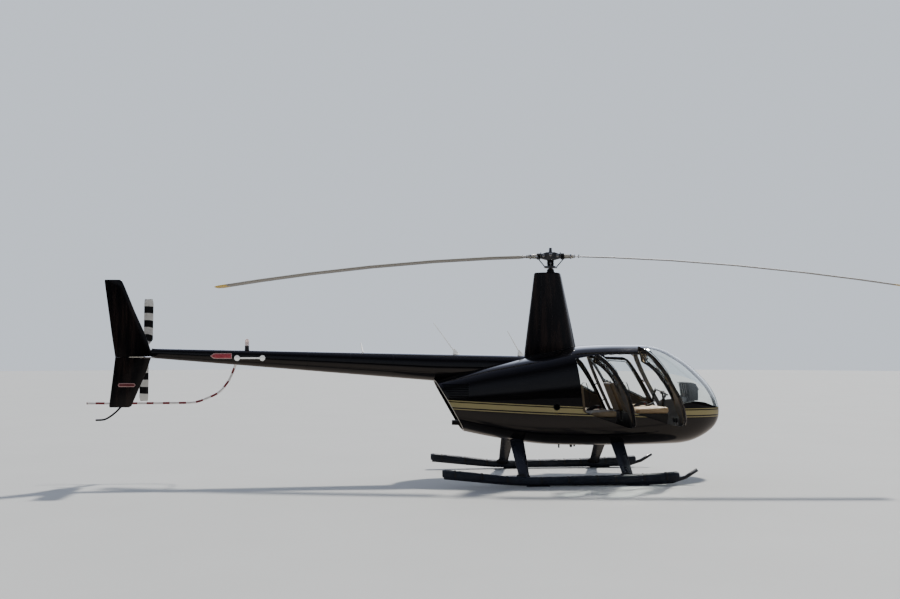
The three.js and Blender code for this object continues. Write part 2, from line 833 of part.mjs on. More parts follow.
// Tail rotor guard: a tube from the side of the tailcone to behind the blades.
const GUARD = { y: 350, z: 1092, radius: 15, braceX: -6230, braceFinZ: 1110, braceRadius: 9 };
const GUARD_LINE = [
  [-4628, 80, 1722],
  [-4640, 112, 1705],
  [-4672, 230, 1655],
  [-4715, 330, 1572],
  [-4780, GUARD.y, 1425],
  [-4916, GUARD.y, 1257],
  [-5091, GUARD.y, 1165],
  [-5273, GUARD.y, 1104],
  [-5522, GUARD.y, 1095],
  [-5986, GUARD.y, 1092],
  [-6400, GUARD.y, GUARD.z],
  [-6823, GUARD.y, 1094],
];

function rotorGuard() {
  const { y, z, radius, braceX, braceFinZ, braceRadius } = GUARD;
  const loop = bentTube(GUARD_LINE, radius, 8, 28);
  const brace = bar([braceX, y, z], [braceX, FIN_Y, braceFinZ], braceRadius, braceRadius, 10);
  return cut(join(loop, brace), tailTube(-4900, -4400, TOUCH), fin(LOWER_FIN, TOUCH));
}

const BEACON = { x: -4483, footZ: 1850, seatZ: 1930, top: 2034 };

function beacon() {
  const { x, footZ, seatZ, top } = BEACON;
  const foot = bar([x, 0, footZ], [x, 0, seatZ], 34, 30, 20);
  const lens = bar([x, 0, seatZ - 1], [x, 0, top], 29, 22, 20);
  return cut(join(foot, lens), tailTube(-4800, -4200, TOUCH));
}

// Aerials: two whips on the cowl, a stub and a rail on two round feet on the tailcone.
const WHIPS = {
  fore: { foot: [-445, 1780], tip: [-655, 2158] },
  aft: { foot: [-1412, 1799], tip: [-1762, 2281] },
};
const WHIP = { radius: 5, tipRadius: 3, foot: 15, footTall: 26 };

function whip({ foot: [x, z], tip }) {
  const rod = bar([x, 0, z], [tip[0], 0, tip[1]], WHIP.radius, WHIP.tipRadius, 10);
  const foot = bar([x, 0, z - 5], [x - 4, 0, z + WHIP.footTall], WHIP.foot, WHIP.foot - 6, 16);
  return cut(join(rod, foot), saddleTube(CONE.fore - 20, SADDLE.x, TOUCH));
}

const STUB = { x: -2800, lean: 34, foot: 1825, top: 1978, radius: 12, tipRadius: 8, base: 24 };

function stubAerial() {
  const { x, lean, foot, top, radius, tipRadius, base } = STUB;
  const post = bar([x, 0, foot], [x - lean, 0, top], radius, tipRadius, 14);
  const seat = bar([x, 0, foot], [x, 0, foot + base], base, base - 6, 18);
  return cut(join(post, seat), tailTube(x - 200, x + 200, TOUCH));
}

const RAIL = { x: [-4610, -4248], z: 1757, foot: 43, footY: [-108, -121], thick: 12, bar: 11, out: 46 };

function sideAerial() {
  const { x, z, foot, footY, thick, out } = RAIL;
  const feet = x.flatMap((at, i) => [
    bar([at, footY[i] + 20, z], [at, footY[i] - thick, z], foot, foot - 4, 24),
    bar([at, footY[i], z], [at, footY[i] - out, z], RAIL.bar + 3, RAIL.bar, 14),
  ]);
  const [aft, fore] = x.map((at, i) => [at, footY[i] - out, z]);
  const rail = bar([aft[0] - 12, aft[1], z], [fore[0] + 12, fore[1], z], RAIL.bar, RAIL.bar, 14);
  return cut(join(rail, ...feet), tailTube(-4900, -4000, TOUCH));
}

// Landing gear
const SKID_LINE = [
  [1846, 205],
  [1760, 150],
  [1660, 96],
  [1557, 60],
  [1440, 40],
  [1300, SKID_AXIS_Z],
  [-560, SKID_AXIS_Z],
  [-760, 45],
  [-1000, 66],
  [-1700, 138],
];

const SKID_STEPS = 18;
const SKID_SIDES = 10;

function skidTube(side, grow) {
  const points = SKID_LINE.map(([x, z]) => [x, side * SKID_Y, z]);
  return bentTube(points, SKID_TUBE + grow, SKID_SIDES, SKID_STEPS);
}

function skid(side) {
  const shoes = Object.values(SHOE.x).map((x) =>
    box(
      [x - SHOE.length / 2, side * SKID_Y - SHOE.width / 2, 0],
      [x + SHOE.length / 2, side * SKID_Y + SHOE.width / 2, SHOE.thickness],
    ),
  );
  return join(skidTube(side, 0), ...shoes);
}

// Stowed float: x, z of its foot and top, and half width.
const FLOAT_SECTIONS = [
  [1590, 62, 172, 50],
  [1560, 40, 192, 66],
  [1300, 16, 178, 74],
  [700, 16, 152, 76],
  [-560, 16, 132, 76],
  [-800, 26, 150, 76],
  [-1200, 64, 200, 75],
  [-1680, 118, 252, 68],
  [-1728, 138, 244, 48],
];

const FLOAT_SIDES = 12;

function floatCover(side) {
  const rings = [...FLOAT_SECTIONS].reverse().map(([x, foot, top, half]) => {
    const ring = [];
    for (let i = 0; i < FLOAT_SIDES; i++) {
      const turn = ((i + 0.5) / FLOAT_SIDES) * 2 * Math.PI;
      const [c, s] = [Math.cos(turn), Math.sin(turn)];
      const y = half * Math.sign(c) * Math.abs(c) ** 0.7;
      const z = (top - foot) * 0.5 * Math.sign(s) * Math.abs(s) ** 0.7;
      ring.push([x, side * SKID_Y + y, (foot + top) / 2 + z]);
    }
    return ring;
  });
  const legs = Object.values(GEAR_X).map((x) => leg(x, side, 2 * TOUCH));
  return largest(cut(loft(rings), skidTube(side, TOUCH), ...legs));
}

const LEG = { chord: 100, half: 24, topY: 405, topZ: 585, footY: 1076, footZ: 62 };
const CROSS_TUBE_RADIUS = 30;

// One faired strut from the belly to the skid; its section is a long thin blade.
function leg(x, side, grow) {
  const shape = [
    [1, 0],
    [0.8, 0.7],
    [0.3, 1],
    [-0.4, 0.8],
    [-1, 0.12],
    [-1, -0.12],
    [-0.4, -0.8],
    [0.3, -1],
    [0.8, -0.7],
  ];
  const lean = new THREE.Vector2(LEG.footY - LEG.topY, LEG.footZ - LEG.topZ).normalize();
  const ring = (y, z) =>
    shape.map(([a, b]) => [
      x + a * (LEG.chord + grow),
      side * (y - b * (LEG.half + grow) * lean.y),
      z + b * (LEG.half + grow) * lean.x,
    ]);
  const foot = ring(LEG.footY + lean.x * grow, LEG.footZ + lean.y * grow);
  const ends = [foot, ring(LEG.topY - lean.x * grow, LEG.topZ - lean.y * grow)];
  return loft(side < 0 ? ends.reverse() : ends);
}

function gearForm(x, grow) {
  const legs = SIDES.map(([, side]) => leg(x, side, grow));
  const [y, z] = [LEG.topY + 10, LEG.topZ - 10];
  return join(...legs, bar([x, -y, z], [x, y, z], CROSS_TUBE_RADIUS + grow));
}

function gear(x) {
  const tubes = SIDES.map(([, side]) => skidTube(side, TOUCH));
  return cut(gearForm(x, 0), ...tubes);
}

// Main rotor, built along X and turned to its rest azimuth.
const BLADE_SECTIONS = [0, 0.03, 0.12, 0.3, 0.5, 0.7, 0.86, 0.985, 1];
const BLADE_CHORD = 254;

function bladeDrop(r) {
  return BLADE_DROP * (r / ROTOR_RADIUS) ** DROOP_POWER;
}

// Section of a blade: place ahead of the feathering line over the chord, and height over it.
const BLADE_SECTION = [
  [0.25, 0],
  [0.22, 0.038],
  [0.1, 0.058],
  [-0.25, 0.042],
  [-0.75, 0.004],
  [-0.75, -0.004],
  [-0.25, -0.03],
  [0.1, -0.044],
  [0.22, -0.03],
];

const HUB_HALF = 150;
const BLADE_PITCH = 0.07;
const HORN = { x: 203, y: 118 };

function rotorBlade(way) {
  const lineZ = (r) => ROTOR_HUB_Z + way * r * ROTOR_TEETER - bladeDrop(r);
  const rings = BLADE_SECTIONS.map((t) => {
    const r = BLADE_ROOT + t * (ROTOR_RADIUS - BLADE_ROOT);
    const chord = BLADE_CHORD * (t < 0.02 ? 0.5 : t > 0.99 ? 0.72 : 1);
    return BLADE_SECTION.map(([a, h]) => {
      const ahead = a * chord;
      return [way * r, way * ahead, lineZ(r) + h * chord + BLADE_PITCH * ahead];
    });
  });
  const [root, tip] = [HUB_HALF - 30, BLADE_ROOT + 15];
  const spindle = bar([way * root, 0, lineZ(root)], [way * tip, 0, lineZ(tip)], 42, 26, 18);
  const inboard = box([-HUB_HALF - TOUCH, -200, 0], [HUB_HALF + TOUCH, 200, 2 * FAR]);
  const horn = bar(
    [way * (HORN.x + 12), 0, ROTOR_HUB_Z],
    [way * HORN.x, way * HORN.y, ROTOR_HUB_Z - 4],
    15,
    11,
    12,
  );
  return cut(join(loft(rings), spindle, horn), inboard);
}

// Rotor hub: heights over the hub line, and the bolts that carry it and its blades.
const HUB = { half: 48, crown: 30, under: 55, shoulder: 35, top: 62, capTop: 3408 };
const HUB_END = { x: 60, under: 30, top: 28 };
const TEETER_BOLT = { z: 42, half: 78, radius: 20 };
const CONING_BOLT = { x: 118, z: 8, half: 66, radius: 17 };

function rotorHub() {
  const z = (over) => ROTOR_HUB_Z + over;
  const beam = frontPrism(
    [
      [-HUB.half, z(-HUB.under)],
      [HUB.half, z(-HUB.under)],
      [HUB.half, z(HUB.shoulder)],
      [HUB.crown, z(HUB.top)],
      [-HUB.crown, z(HUB.top)],
      [-HUB.half, z(HUB.shoulder)],
    ],
    -HUB_HALF,
    HUB_HALF,
  );
  const profile = sidePrism(
    [
      [-HUB_HALF, z(-HUB_END.under)],
      [-HUB_END.x, z(-HUB.under)],
      [HUB_END.x, z(-HUB.under)],
      [HUB_HALF, z(-HUB_END.under)],
      [HUB_HALF, z(HUB_END.top)],
      [HUB_END.x, z(HUB.top)],
      [-HUB_END.x, z(HUB.top)],
      [-HUB_HALF, z(HUB_END.top)],
    ],
    -HUB.half,
    HUB.half,
  );
  const bolt = (x, { z: over, half, radius }) => bar([x, -half, z(over)], [x, half, z(over)], radius);
  const cap = bar([0, 0, z(40)], [0, 0, HUB.capTop], 30, 22, 18);
  const coning = [-1, 1].map((way) => bolt(way * CONING_BOLT.x, CONING_BOLT));
  return join(common(beam, profile), bolt(0, TEETER_BOLT), cap, ...coning);
}

function rotorMast() {
  const top = ROTOR_HUB_Z - HUB.under - TOUCH;
  return bar([0, 0, MAST_SEAT_Z + TOUCH], [0, 0, top], MAST_RADIUS, MAST_RADIUS, 20);
}

const SWASH = { z: 3118, half: 14, radius: 88, earX: 50, earY: 40, linkX: 86, linkY: 70 };

function swashplate() {
  const { z, half, radius, earX, earY, linkX, linkY } = SWASH;
  const plate = bar([0, 0, z - half], [0, 0, z + half], radius + 4, radius - 4, 28);
  const inner = MAST_RADIUS + TOUCH;
  const bore = bar([0, 0, z - 3 * half], [0, 0, z + 3 * half], inner, inner, 20);
  const links = [-1, 1].map((way) => {
    const foot = [way * linkX, way * linkY, z];
    const ear = bar([way * earX, way * earY, z], foot, 13, 11, 12);
    const top = [way * HORN.x, way * HORN.y, ROTOR_HUB_Z - 21];
    return join(ear, bar(foot, top, 8, 8, 10));
  });
  return join(cut(plate, bore), ...links);
}

// Tail rotor blade: distance from the shaft, chord and half thickness.
const TAIL_BLADE_ROWS = [
  [80, 60, 16],
  [150, 128, 15],
  [690, 132, 10],
  [TAIL_ROTOR.radius, 112, 6],
];
const TAIL_BLADE_SECTION = [
  [-0.2, -0.8],
  [0.05, -1],
  [0.7, -0.12],
  [0.7, 0.12],
  [0.05, 1],
  [-0.2, 0.8],
  [-0.3, 0],
];
const TAIL_HUB = { half: 38, yokeWide: 30, yokeDeep: 24, yokeTall: 95, pitch: 0.12, gap: 0.5 };

// Two blades and their hub in one piece, turning beside the fin.
function tailRotor() {
  const { x, y, z } = TAIL_ROTOR;
  const { half: outer, yokeWide, yokeDeep, yokeTall, pitch, gap } = TAIL_HUB;
  const hub = bar([x, GEARBOX.shaftEnd + gap, z], [x, y + outer, z], 26, 24, 18);
  const yoke = box(
    [x - yokeWide, y - yokeDeep, z - yokeTall],
    [x + yokeWide, y + yokeDeep, z + yokeTall],
  );
  const blades = [-1, 1].map((way) => {
    const ring = ([r, chord, half]) =>
      TAIL_BLADE_SECTION.map(([a, b]) => [
        x + way * a * chord,
        y + b * half + pitch * a * chord,
        z + way * r,
      ]);
    return loft(TAIL_BLADE_ROWS.map(ring));
  });
  return join(hub, yoke, ...blades);
}

// Half width of the body at a place on its side.
function hullHalf(x, z) {
  const i = HULL_SECTIONS.findIndex(([at]) => at >= x);
  const [low, high] = [HULL_SECTIONS[i - 1], HULL_SECTIONS[i]];
  const part = (x - low[0]) / (high[0] - low[0]);
  const here = low.map((value, k) => value + part * (high[k] - value));
  const [, belly, roof, half, widest, upper, lower] = here;
  const [reach, power] = z > widest ? [roof - widest, upper] : [widest - belly, lower];
  return half * (1 - (Math.abs(z - widest) / reach) ** power) ** (1 / power);
}

function hingeLine(name, side) {
  const { top, foot } = DOORS[name].hinge;
  const high = new THREE.Vector3(top[0], side * top[1], top[2]);
  const low = new THREE.Vector3(foot[0], side * foot[1], foot[2]);
  const axis = high.clone().sub(low).normalize();
  return { high, low, axis };
}

// A flat strap between two points, its width lying along a third direction.
function strap(from, to, along, half, thick) {
  const wide = along.clone().multiplyScalar(half);
  const across = to.clone().sub(from).cross(along).setLength(thick / 2);
  const ring = (at) => [
    at.clone().add(wide).add(across).toArray(),
    at.clone().sub(wide).add(across).toArray(),
    at.clone().sub(wide).sub(across).toArray(),
    at.clone().add(wide).sub(across).toArray(),
  ];
  return loft([ring(from), ring(to)]);
}

const KNUCKLE = { length: 22, radius: 8, strapHalf: 9, strapThick: 8, sunk: 12 };

// The door's knuckles, or the ones on the body that they meet end to end on the hinge line.
function hingeKnuckles(name, side, onDoor) {
  const { high, low, axis } = hingeLine(name, side);
  const { doorReach, postReach } = DOORS[name].hinge;
  const { length, radius, strapHalf, strapThick, sunk } = KNUCKLE;
  const aft = new THREE.Vector3(-axis.z, 0, axis.x).normalize();
  const forward = aft.clone().negate();
  const at = (middle, distance) => middle.clone().addScaledVector(axis, distance);
  return DOORS[name].knuckles.flatMap((station) => {
    const middle = low.clone().lerp(high, station);
    const near = at(middle, onDoor ? 0 : -TOUCH);
    const end = at(near, onDoor ? length : -length);
    const centre = near.clone().lerp(end, 0.5);
    const foot = centre.clone().addScaledVector(onDoor ? aft : forward, onDoor ? doorReach : postReach);
    foot.y = side * (hullHalf(foot.x, foot.z) - sunk);
    return [
      bar(near.toArray(), end.toArray(), radius, radius, 12),
      strap(centre, foot, axis, strapHalf, strapThick),
    ];
  });
}

// Doors
const DOOR_INNER_Y = 60;
const doorSide = (side) => (side < 0 ? [-FAR, -DOOR_INNER_Y] : [DOOR_INNER_Y, FAR]);

function doorOutline(name, distance) {
  const points = insetOutline(DOORS[name].opening, distance);
  if (name === "rear") {
    points[REAR_CORNER.point][0] += REAR_CORNER.ease;
  }
  return points;
}

function doorShell(name, side) {
  const across = doorSide(side);
  const skin = common(
    cut(outerHull, hull(DOOR_LIP)),
    sidePrism(doorOutline(name, DOOR_GAP), ...across),
  );
  const inner = common(
    cut(hull(DOOR_LIP - 1), hull(DOOR_WALL)),
    sidePrism(doorOutline(name, DOOR_GAP + DOOR_STEP), ...across),
  );
  const panel = cut(join(skin, inner), sidePrism(DOORS[name].window, ...across));
  return join(panel, ...hingeKnuckles(name, side, true));
}

const PANE_RIM = 7;

// A bulged window pane with the rim that seats it in the door.
function doorPane(name, side) {
  const light = DOORS[name].window;
  const across = doorSide(side);
  const whole = sidePrism(insetOutline(light, TOUCH), ...across);
  const middle = sidePrism(insetOutline(light, PANE_RIM), ...across);
  const dome = common(cut(hull(-WINDOW_BULGE), hull(PANE - WINDOW_BULGE)), whole);
  const rim = cut(common(cut(hull(-WINDOW_BULGE), hull(PANE + 4)), whole), middle);
  return join(dome, rim);
}

const group = new THREE.Group();
const airframe = new THREE.Group();
group.add(airframe);
airframe.position.set(-ORIGIN_X, -ORIGIN_Y, 0);

const place = (name, body, material) => {
  const mesh = meshOf(name, body, material);
  airframe.add(mesh);
  return mesh;
};

place("cabin_tub", cabinTub(), BLACK_PAINT);
place("cabin_roof", cabinRoof(), BLACK_PAINT);
place("rear_bulkhead", rearBulkhead(), DARK_PLASTIC);
place("instrument_panel", instrumentPanel(), DARK_PLASTIC);
place("cyclic_stick", cyclicStick(), DARK_PLASTIC);
for (const seat of SEATS) {
  place(`${seat.row}_seat_base`, seatBase(seat), DARK_PLASTIC);
  for (const [hand, side] of SIDES) {
    place(`${seat.row}_cushion_${hand}`, cushion(seat, side), TAN_LEATHER);
    place(`${seat.row}_seat_back_${hand}`, seatBack(seat, side), TAN_LEATHER);
  }
}
for (const [hand, side] of SIDES) {
  place(`windshield_${hand}`, windshield(side), GLASS);
  place(`cowl_${hand}`, cowl(side), BLACK_PAINT);
  place(`skid_${hand}`, skid(side), DARK_PLASTIC);
  place(`float_${hand}`, floatCover(side), FLOAT_FABRIC);
}
place("tailcone_cowl", tailconeCowl(), BLACK_PAINT);
place("mast_fairing", mastFairing(), BLACK_PAINT);
place("engine", engine(), ENGINE_GREY);
place("cooling_fan", fan(), DARK_PLASTIC);
place("exhaust", exhaust(), STEEL);
place("tailcone", tailcone(), BLACK_PAINT);
place("upper_fin", fin(UPPER_FIN), BLACK_PAINT);
place("lower_fin", fin(LOWER_FIN), BLACK_PAINT);
place("stabiliser", stabiliser(), BLACK_PAINT);
place("tail_gearbox", tailGearbox(), DARK_PLASTIC);
place("tail_skid", tailSkid(), DARK_PLASTIC);
place("rotor_guard", rotorGuard(), STRIPED_PAINT);
place("beacon", beacon(), GLASS);
place("whip_fore", whip(WHIPS.fore), DARK_PLASTIC);
place("whip_aft", whip(WHIPS.aft), DARK_PLASTIC);
place("stub_aerial", stubAerial(), WHITE_PAINT);
place("side_aerial", sideAerial(), WHITE_PAINT);
place("landing_lamps", landingLamps(), GLASS);
place("front_gear", gear(GEAR_X.front), BLACK_PAINT);
place("aft_gear", gear(GEAR_X.aft), BLACK_PAINT);

const rotor = new THREE.Group();
rotor.rotation.z = ROTOR_AZIMUTH;
airframe.add(rotor);
rotor.add(meshOf("rotor_mast", rotorMast(), STEEL));
rotor.add(meshOf("swashplate", swashplate(), ROTOR_PAINT));
rotor.add(meshOf("rotor_hub", rotorHub(), ROTOR_PAINT));
rotor.add(meshOf("rotor_blade_fore", rotorBlade(1), BLADE_PAINT));
rotor.add(meshOf("rotor_blade_aft", rotorBlade(-1), BLADE_PAINT));

const tailPivot = new THREE.Group();
tailPivot.position.set(TAIL_ROTOR.x, 0, TAIL_ROTOR.z);
tailPivot.rotation.y = TAIL_ROTOR.azimuth;
const tailMesh = meshOf("tail_rotor", tailRotor(), BLADE_PAINT);
tailMesh.position.set(-TAIL_ROTOR.x, 0, -TAIL_ROTOR.z);
tailPivot.add(tailMesh);
airframe.add(tailPivot);

for (const [hand, side] of SIDES) {
  for (const name of ["front", "rear"]) {
    const open = -side * DOOR_OPEN[hand][name] * DEGREE;
    const { low, axis } = hingeLine(name, side);
    const pivot = new THREE.Group();
    pivot.position.copy(low);
    pivot.quaternion.setFromAxisAngle(axis, open);
    const hung = new THREE.Group();
    hung.position.copy(low).negate();
    hung.add(meshOf(`${name}_door_${hand}`, doorShell(name, side), BLACK_PAINT));
    hung.add(meshOf(`${name}_door_pane_${hand}`, doorPane(name, side), GLASS));
    pivot.add(hung);
    airframe.add(pivot);
  }
}

export default group;
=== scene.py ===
import json
import math

import bmesh
import bpy
import numpy as np
from mathutils import Matrix, Vector, noise


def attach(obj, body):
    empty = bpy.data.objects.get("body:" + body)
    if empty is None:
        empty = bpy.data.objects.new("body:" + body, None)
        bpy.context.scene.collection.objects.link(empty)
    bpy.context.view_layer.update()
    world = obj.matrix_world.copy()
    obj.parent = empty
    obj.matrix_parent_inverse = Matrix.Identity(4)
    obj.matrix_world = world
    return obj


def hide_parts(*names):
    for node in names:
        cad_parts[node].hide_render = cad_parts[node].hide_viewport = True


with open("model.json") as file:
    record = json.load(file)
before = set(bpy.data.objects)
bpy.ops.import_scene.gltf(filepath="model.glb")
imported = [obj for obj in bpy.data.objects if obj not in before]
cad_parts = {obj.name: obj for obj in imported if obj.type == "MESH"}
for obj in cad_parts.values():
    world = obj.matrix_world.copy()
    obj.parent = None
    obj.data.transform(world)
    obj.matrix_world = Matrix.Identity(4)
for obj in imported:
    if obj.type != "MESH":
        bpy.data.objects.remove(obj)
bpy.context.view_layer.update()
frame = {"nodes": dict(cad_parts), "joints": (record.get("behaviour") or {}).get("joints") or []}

# The aircraft's own frame has X from the rotor mast and Y from the plane of symmetry.
joint_at = {joint["name"]: Vector(joint["pos_m"]) for joint in frame["joints"]}
joint_axis = {joint["name"]: Vector(joint["axis"]) for joint in frame["joints"]}
ORIGIN = Vector((joint_at["main_rotor_spin"].x, joint_at["main_rotor_spin"].y, 0))
SIDES = (("right", -1), ("left", 1))
DOORS_OPEN = {
    ("right", "front"): math.radians(79),
    ("right", "rear"): math.radians(86),
    ("left", "front"): math.radians(34),
    ("left", "rear"): math.radians(34),
}


# Camera, light and floor


def make_camera():
    """Stands at the photograph's place: to the right, low, and turned a little to the nose."""
    data = bpy.data.cameras.new("camera")
    data.lens = 39.78
    data.sensor_width = 36
    camera = bpy.data.objects.new("camera", data)
    camera.location = Vector((-2.872, -14.695, 1.854)) + ORIGIN
    camera.rotation_euler = (math.radians(90 + 2.986), 0, math.radians(-5.271))
    bpy.context.scene.collection.objects.link(camera)
    bpy.context.scene.camera = camera


def make_sun():
    """A soft key light from ahead and beyond the machine, as high as the photograph's shadows say."""
    data = bpy.data.lights.new("key", "SUN")
    data.energy = 4.2
    data.angle = math.radians(4)
    data.color = (1, 0.96, 0.9)
    key = bpy.data.objects.new("key", data)
    falls = Vector((-1.3, -1.75, -2.9))
    key.rotation_euler = falls.to_track_quat("-Z", "Y").to_euler()
    bpy.context.scene.collection.objects.link(key)


# What the paint mirrors, from straight below to straight above: height and colour.
SKY = (
    (0.0, (0.022, 0.021, 0.020)),
    (0.12, (0.024, 0.024, 0.026)),
    (0.22, (0.92, 0.98, 1.12)),
    (0.58, (0.72, 0.80, 1.0)),
    (0.82, (0.15, 0.165, 0.23)),
    (1.0, (0.09, 0.10, 0.15)),
)
BACKDROP = (0.66, 0.72, 0.80)


def make_world():
    """A pale backdrop for the camera, and for reflections a sky that is bright beyond the machine."""
    world = bpy.data.worlds.new("studio")
    bpy.context.scene.world = world
    world.use_nodes = True
    sky = Nodes(world.node_tree)
    sky.nodes.clear()
    split = sky.add("ShaderNodeSeparateXYZ")
    sky.join(sky.add("ShaderNodeTexCoord").outputs["Generated"], split.inputs[0])
    ramp = sky.add("ShaderNodeValToRGB")
    sky.join(split.outputs["Z"], ramp.inputs["Fac"])
    while len(ramp.color_ramp.elements) < len(SKY):
        ramp.color_ramp.elements.new(0.5)
    for element, (height, colour) in zip(ramp.color_ramp.elements, SKY):
        element.position = height
        element.color = (*colour, 1)
    path = sky.add("ShaderNodeLightPath")
    mirrored = path.outputs["Is Glossy Ray"]
    beyond = sky.add("ShaderNodeMapRange", {"From Min": -0.45, "From Max": 0.35, "To Max": 1.0})
    sky.join(split.outputs["Y"], beyond.inputs["Value"])
    sky.join(sky.spread(mirrored, 0.0, 1.0, 0.34, 0.09), beyond.inputs["To Min"])
    shine = sky.spread(mirrored, 0.0, 1.0, 1.3, 2.3)
    lit = sky.add("ShaderNodeBackground")
    sky.join(ramp.outputs["Color"], lit.inputs["Color"])
    sky.join(sky.math("MULTIPLY", beyond.outputs["Result"], shine), lit.inputs["Strength"])
    seen = sky.add("ShaderNodeBackground", {"Color": (*BACKDROP, 1), "Strength": 1.15})
    direct = sky.math("MAXIMUM", path.outputs["Is Camera Ray"], path.outputs["Is Transmission Ray"])
    mix = sky.add("ShaderNodeMixShader")
    for output, socket in zip((direct, lit.outputs[0], seen.outputs[0]), mix.inputs):
        sky.join(output, socket)
    sky.join(mix.outputs[0], sky.add("ShaderNodeOutputWorld").inputs["Surface"])


def make_floor(material):
    """A wide round floor under the skids."""
    bm = bmesh.new()
    bmesh.ops.create_circle(bm, cap_ends=True, segments=96, radius=90)
    mesh = bpy.data.meshes.new("floor")
    bm.to_mesh(mesh)
    bm.free()
    floor = bpy.data.objects.new("floor", mesh)
    mesh.materials.append(material)
    bpy.context.scene.collection.objects.link(floor)


# Materials


class Nodes:
    """A tree of shader nodes, which short calls add and join."""

    def __init__(self, tree):
        self.nodes, self.links = tree.nodes, tree.links

    def add(self, kind, values=None, **settings):
        node = self.nodes.new(kind)
        for key, value in settings.items():
            setattr(node, key, value)
        for key, value in (values or {}).items():
            node.inputs[key].default_value = value
        return node

    def join(self, output, target):
        self.links.new(output, target)

    def coordinates(self, attribute=None, scale=(1, 1, 1)):
        """Object coordinates, or a vector attribute of the mesh, stretched."""
        if attribute:
            source = self.add("ShaderNodeAttribute", attribute_name=attribute).outputs["Vector"]
        else:
            source = self.add("ShaderNodeTexCoord").outputs["Object"]
        mapping = self.add("ShaderNodeMapping", {"Scale": scale})
        self.join(source, mapping.inputs["Vector"])
        return mapping.outputs["Vector"]

    def noise(self, where, scale, detail, roughness):
        node = self.add(
            "ShaderNodeTexNoise", {"Scale": scale, "Detail": detail, "Roughness": roughness}
        )
        self.join(where, node.inputs["Vector"])
        return node.outputs["Fac"]

    def blend(self, fac, one, two):
        """Mixes two colours, each a tuple or an output, by an output."""
        node = self.add("ShaderNodeMix", data_type="RGBA")
        self.join(fac, node.inputs[0])
        for socket, value in ((node.inputs[6], one), (node.inputs[7], two)):
            if isinstance(value, tuple):
                socket.default_value = (*value, 1)
            else:
                self.join(value, socket)
        return node.outputs[2]

    def spread(self, value, low, high, to_low, to_high):
        """Maps a value from one range to another, held at the ends."""
        node = self.add(
            "ShaderNodeMapRange",
            {"From Min": low, "From Max": high, "To Min": to_low, "To Max": to_high},
        )
        self.join(value, node.inputs["Value"])
        return node.outputs["Result"]

    def math(self, operation, one, two=0.0):
        node = self.add("ShaderNodeMath", operation=operation)
        for socket, value in zip(node.inputs, (one, two)):
            if isinstance(value, (int, float)):
                socket.default_value = value
            else:
                self.join(value, socket)
        return node.outputs[0]

    def within(self, value, middle, half):
        """One inside a band of values, and nought outside it."""
        away = self.math("ABSOLUTE", self.math("SUBTRACT", value, middle))
        return self.spread(away, half - BAND_SOFT, half + BAND_SOFT, 1.0, 0.0)


class Shader(Nodes):
    """A material whose surface is one principled shader."""

    def __init__(self, name, colour, roughness, metallic=0.0, coat=0.0, coat_roughness=0.03):
        self.material = bpy.data.materials.new(name)
        self.material.use_nodes = True
        super().__init__(self.material.node_tree)
        self.surface = self.nodes["Principled BSDF"]
        self.set("Base Color", (*colour, 1))
        self.set("Roughness", roughness)
        self.set("Metallic", metallic)
        self.set("Coat Weight", coat)
        self.set("Coat Roughness", coat_roughness)

    def set(self, socket, value):
        self.surface.inputs[socket].default_value = value

    def bump(self, height, strength, distance):
        node = self.add("ShaderNodeBump", {"Strength": strength, "Distance": distance})
        self.join(height, node.inputs["Height"])
        self.join(node.outputs["Normal"], self.surface.inputs["Normal"])

    def colour(self, output):
        self.join(output, self.surface.inputs["Base Color"])

    def rough(self, output):
        self.join(output, self.surface.inputs["Roughness"])


# The gold stripe: place along the body and height of the middle of the broad band.
STRIPE_LINE = ((-1.7, 1.101), (-1.0, 1.061), (0.0, 1.012), (0.8, 0.984), (1.6, 0.966), (2.6, 0.955))
STRIPE_BAND = 0.034
PINSTRIPE_OFFSET = 0.056
PINSTRIPE_HALF = 0.0065
# Half the width over which a painted edge fades.
BAND_SOFT = 0.0015
GOLD = (0.40, 0.33, 0.15)
BLACK = (0.0042, 0.0038, 0.0045)


